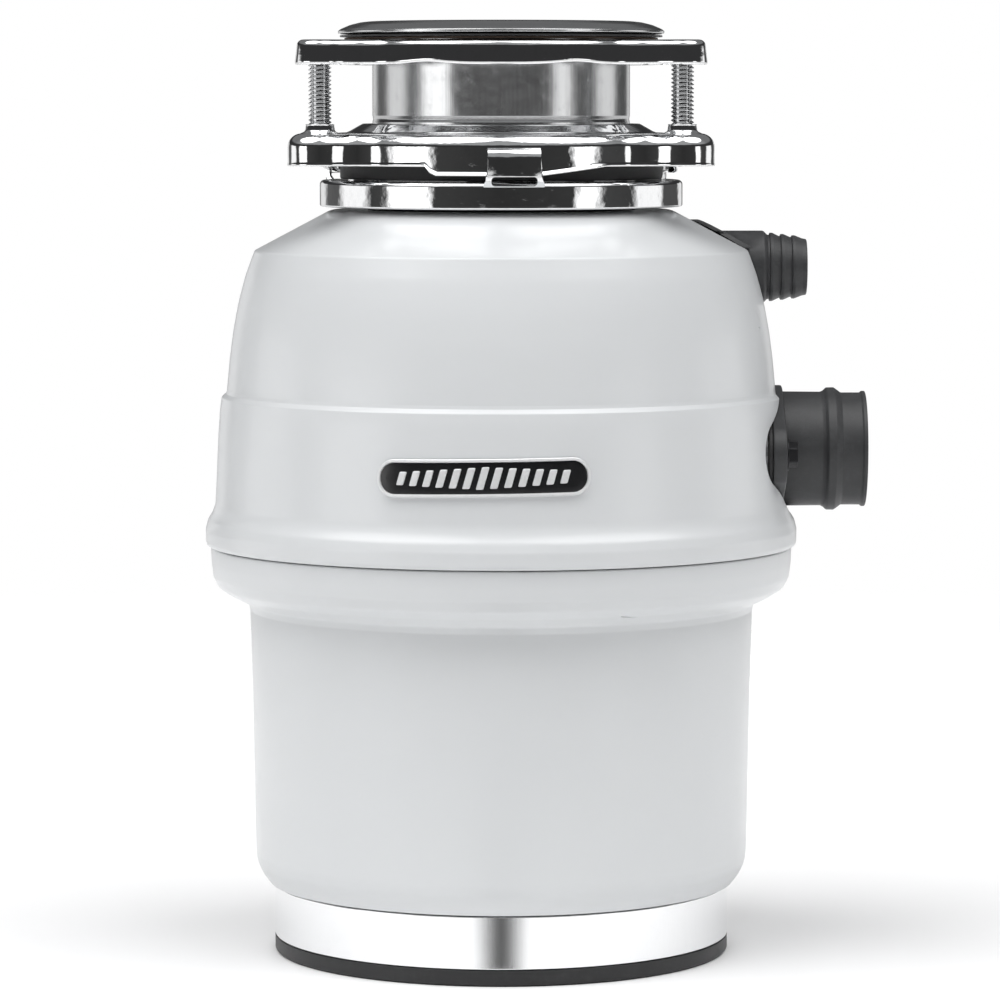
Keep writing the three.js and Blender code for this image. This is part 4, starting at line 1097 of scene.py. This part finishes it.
def threaded_screw(name):
    """A slotted screw with a helical thread from under its head to its tip."""
    low, high = 281.2, 313.0
    crest, root, sides = 3.9, 3.15, 32
    turns = math.ceil((high - low) / THREAD_PITCH) + 1
    shape = [(root, 0.0), (root, 0.14), (crest, 0.5), (crest, 0.62)]
    points, faces = [], []
    total = turns * len(shape)
    for i in range(total):
        radius, part = shape[i % len(shape)]
        start = low + (i // len(shape) - 1 + part) * THREAD_PITCH
        for j in range(sides):
            height = start + THREAD_PITCH * j / sides
            held = min(max(height, low), high)
            near_end = min(1, max(0, (high + 0.4 - held) / 1.2))
            points.append((*polar(root + (radius - root) * near_end, 360 * j / sides), held))
    for i in range(total - len(shape)):
        for j in range(sides):
            wrap = 0 if j < sides - 1 else len(shape)
            k = (j + 1) % sides
            a, b = i * sides, (i + 1) * sides
            if max(a, b) + wrap * sides + k < len(points):
                faces.append((a + j, a + wrap * sides + k, b + wrap * sides + k, b + j))
    thread = solid(name, points, faces, 50)
    head = [
        (0, 275.4), (4.6, 275.2, 1.2), (6.4, 276.4, 0.6), (6.4, 280.4, 0.5), (3.2, 281.0), (3.2, 282.5),
        (0, 282.5),
    ]
    cap = carve(turned("tool", head, 64), [prism("tool", rounded_rectangle(14, 1.6, 0.2, 3), 274, 277)])
    tip = turned("tool", [(0, 312), (3.1, 312), (3.1, 313.0, 0.4), (2.2, 313.6, 0.4), (0, 313.6)], 32)
    return joined(thread, [cap, tip])


def joined(piece, others):
    """Several meshes as one piece, without cutting them."""
    shape = bmesh.new()
    for other in [piece, *others]:
        shape.from_mesh(other.data)
    shape.to_mesh(piece.data)
    shape.free()
    for other in others:
        bpy.data.objects.remove(other)
    return shaded(piece, 50)


for letter, angle in BOLT_ANGLES.items():
    screw = moved(threaded_screw(f"clamp_screw_{letter}_threaded"), *polar(BOLT_CIRCLE, angle))
    fitted(screw, "screw_steel", f"screw_{letter}", f"clamp_screw_{letter}")

# %% [markdown]
# ## Lock ring
# The lowest ring turns under the mounting ring and holds the machine up. Its rim is rounded at the top and
# the bottom. Three hooks rise from the rim: strips about 18 mm wide, and wider at the foot, with a slot
# there for a turning tool and a top that curls inwards over the mounting ring's edge. Each strip is one
# closed outline of its thickness, swept round the ring. The slot is cut last, through the strip and the
# rim.

# %% Lock ring
RIM_PROFILE = [
    (61.0, 258.6, 0.5), (62.6, 258.6, 1.2), (62.6, 267.7, 1.6), (46.4, 267.7, 0.5), (46.4, 265.9, 0.5),
    (60.8, 265.9, 1.0),
]
HOOK_OUTSIDE = [
    (61.6, 265.2, 9.4), (63.2, 266.8, 10.6), (64.2, 268.2, 9.7), (64.5, 270, 9), (64.5, 275.4, 8.9),
    (64.3, 277, 8.9), (63.7, 278.2, 8.9), (62.7, 279, 8.9), (61.4, 279.3, 8.9),
]
HOOK_INSIDE = [
    (61.4, 278, 8.9), (62.3, 277.7, 8.9), (62.9, 277, 8.9), (63.1, 275.6, 8.9), (63.1, 270.4, 9),
    (62.7, 268.9, 9.7), (61.6, 267.6, 10.2), (60.6, 266.4, 9.4),
]


def tool_slot(angle):
    """A cutting tool for the slot between a hook and the rim, which a screwdriver turns the ring by."""
    opening = prism("tool", rounded_rectangle(3.1, 15.4, 1.3), 59, 70)
    return moved(along_x(opening, 0, 268.1), turn=angle)


def hook(name, angle, steps=16):
    """One curled strip. Each point of its outline has a radius, a height and half the strip's width there."""
    outline = HOOK_OUTSIDE + HOOK_INSIDE
    rows = []
    for i in range(steps + 1):
        share = 2 * i / steps - 1
        rows.append([(*polar(r, angle + math.degrees(share * half / r)), z) for r, z, half in outline])
    strip = woven(name, rows, wrap_rows=False, caps=True)
    return eased(carve(strip, [tool_slot(angle)]), 0.28)


lock = turned("lock_ring_pressed", RIM_PROFILE, 256)
carve(lock, [tool_slot(angle) for angle in LUG_ANGLES])
fitted(lock, "ring_chrome", "lock_ring_body", "lock_ring")
for i, angle in enumerate(LUG_ANGLES):
    fitted(hook(f"lock_hook_{i + 1}", angle), "ring_chrome", "lock_ring_body")

# %% [markdown]
# ## Rubber in the throat
# A rubber gasket caps the hopper's lip and closes the throat with soft flaps, so that food goes down and
# nothing splashes back. The flaps are one moulding, slit along three lines with a round end to each slit
# that stops it tearing. A plain rubber collar fills the gap round the neck.

# %% Splash guard and collar
GUARD = [
    (13, 256.6, 0.4), (30, 259.8, 6), (41, 262, 0.6), (42.6, 262, 0.5), (42.6, 270.3), (53.9, 270.3),
    (53.9, 268.1, 0.3), (55.6, 268.1, 0.6), (55.6, 273.9, 1.2), (50, 273.9, 0.4), (49.2, 273.3, 0.4),
    (48.4, 273.9, 0.4), (40.6, 273.9, 1.6), (40.6, 264.2, 1.2), (28, 261.6, 3), (26.5, 261.9, 0.4),
    (25, 261.0, 0.4), (13, 258.6, 0.6),
]
guard = turned("splash_guard_moulded", GUARD, 144)
slits = []
for angle in (0, 60, 120):
    slits.append(moved(prism("tool", rounded_rectangle(66, 0.9, 0.3, 4), 250, 264.6), turn=angle))
    slits += [rod(1.4, 250, 264.4, 24, *polar(33, angle + half)) for half in (0, 180)]
carve(guard, slits)
fitted(guard, "black_rubber", ROOT, "splash_guard")
COLLAR_RUBBER = [(45.1, 253.9, 0.4), (46.1, 253.9, 0.5), (46.1, 258.3, 0.5), (45.1, 258.3, 0.4)]
fitted(turned("neck_collar_moulded", COLLAR_RUBBER, 192), "black_rubber", ROOT, "neck_collar")

# %% [markdown]
# ## What keeps its own shape
# Inside the shells the motor and the grinding chamber keep the meshes of the model, whose shapes are right
# and which no one sees from outside. Each still gets the finish of its slot.

# %% Finishes for the other pieces
for entry in frame["record"]["subparts"]:
    node = frame["nodes"][entry["node"]]
    node.data.materials.clear()
    node.data.materials.append(FINISHES[entry["material_slot"]])
print("finished:", len(frame["nodes"]), "nodes")
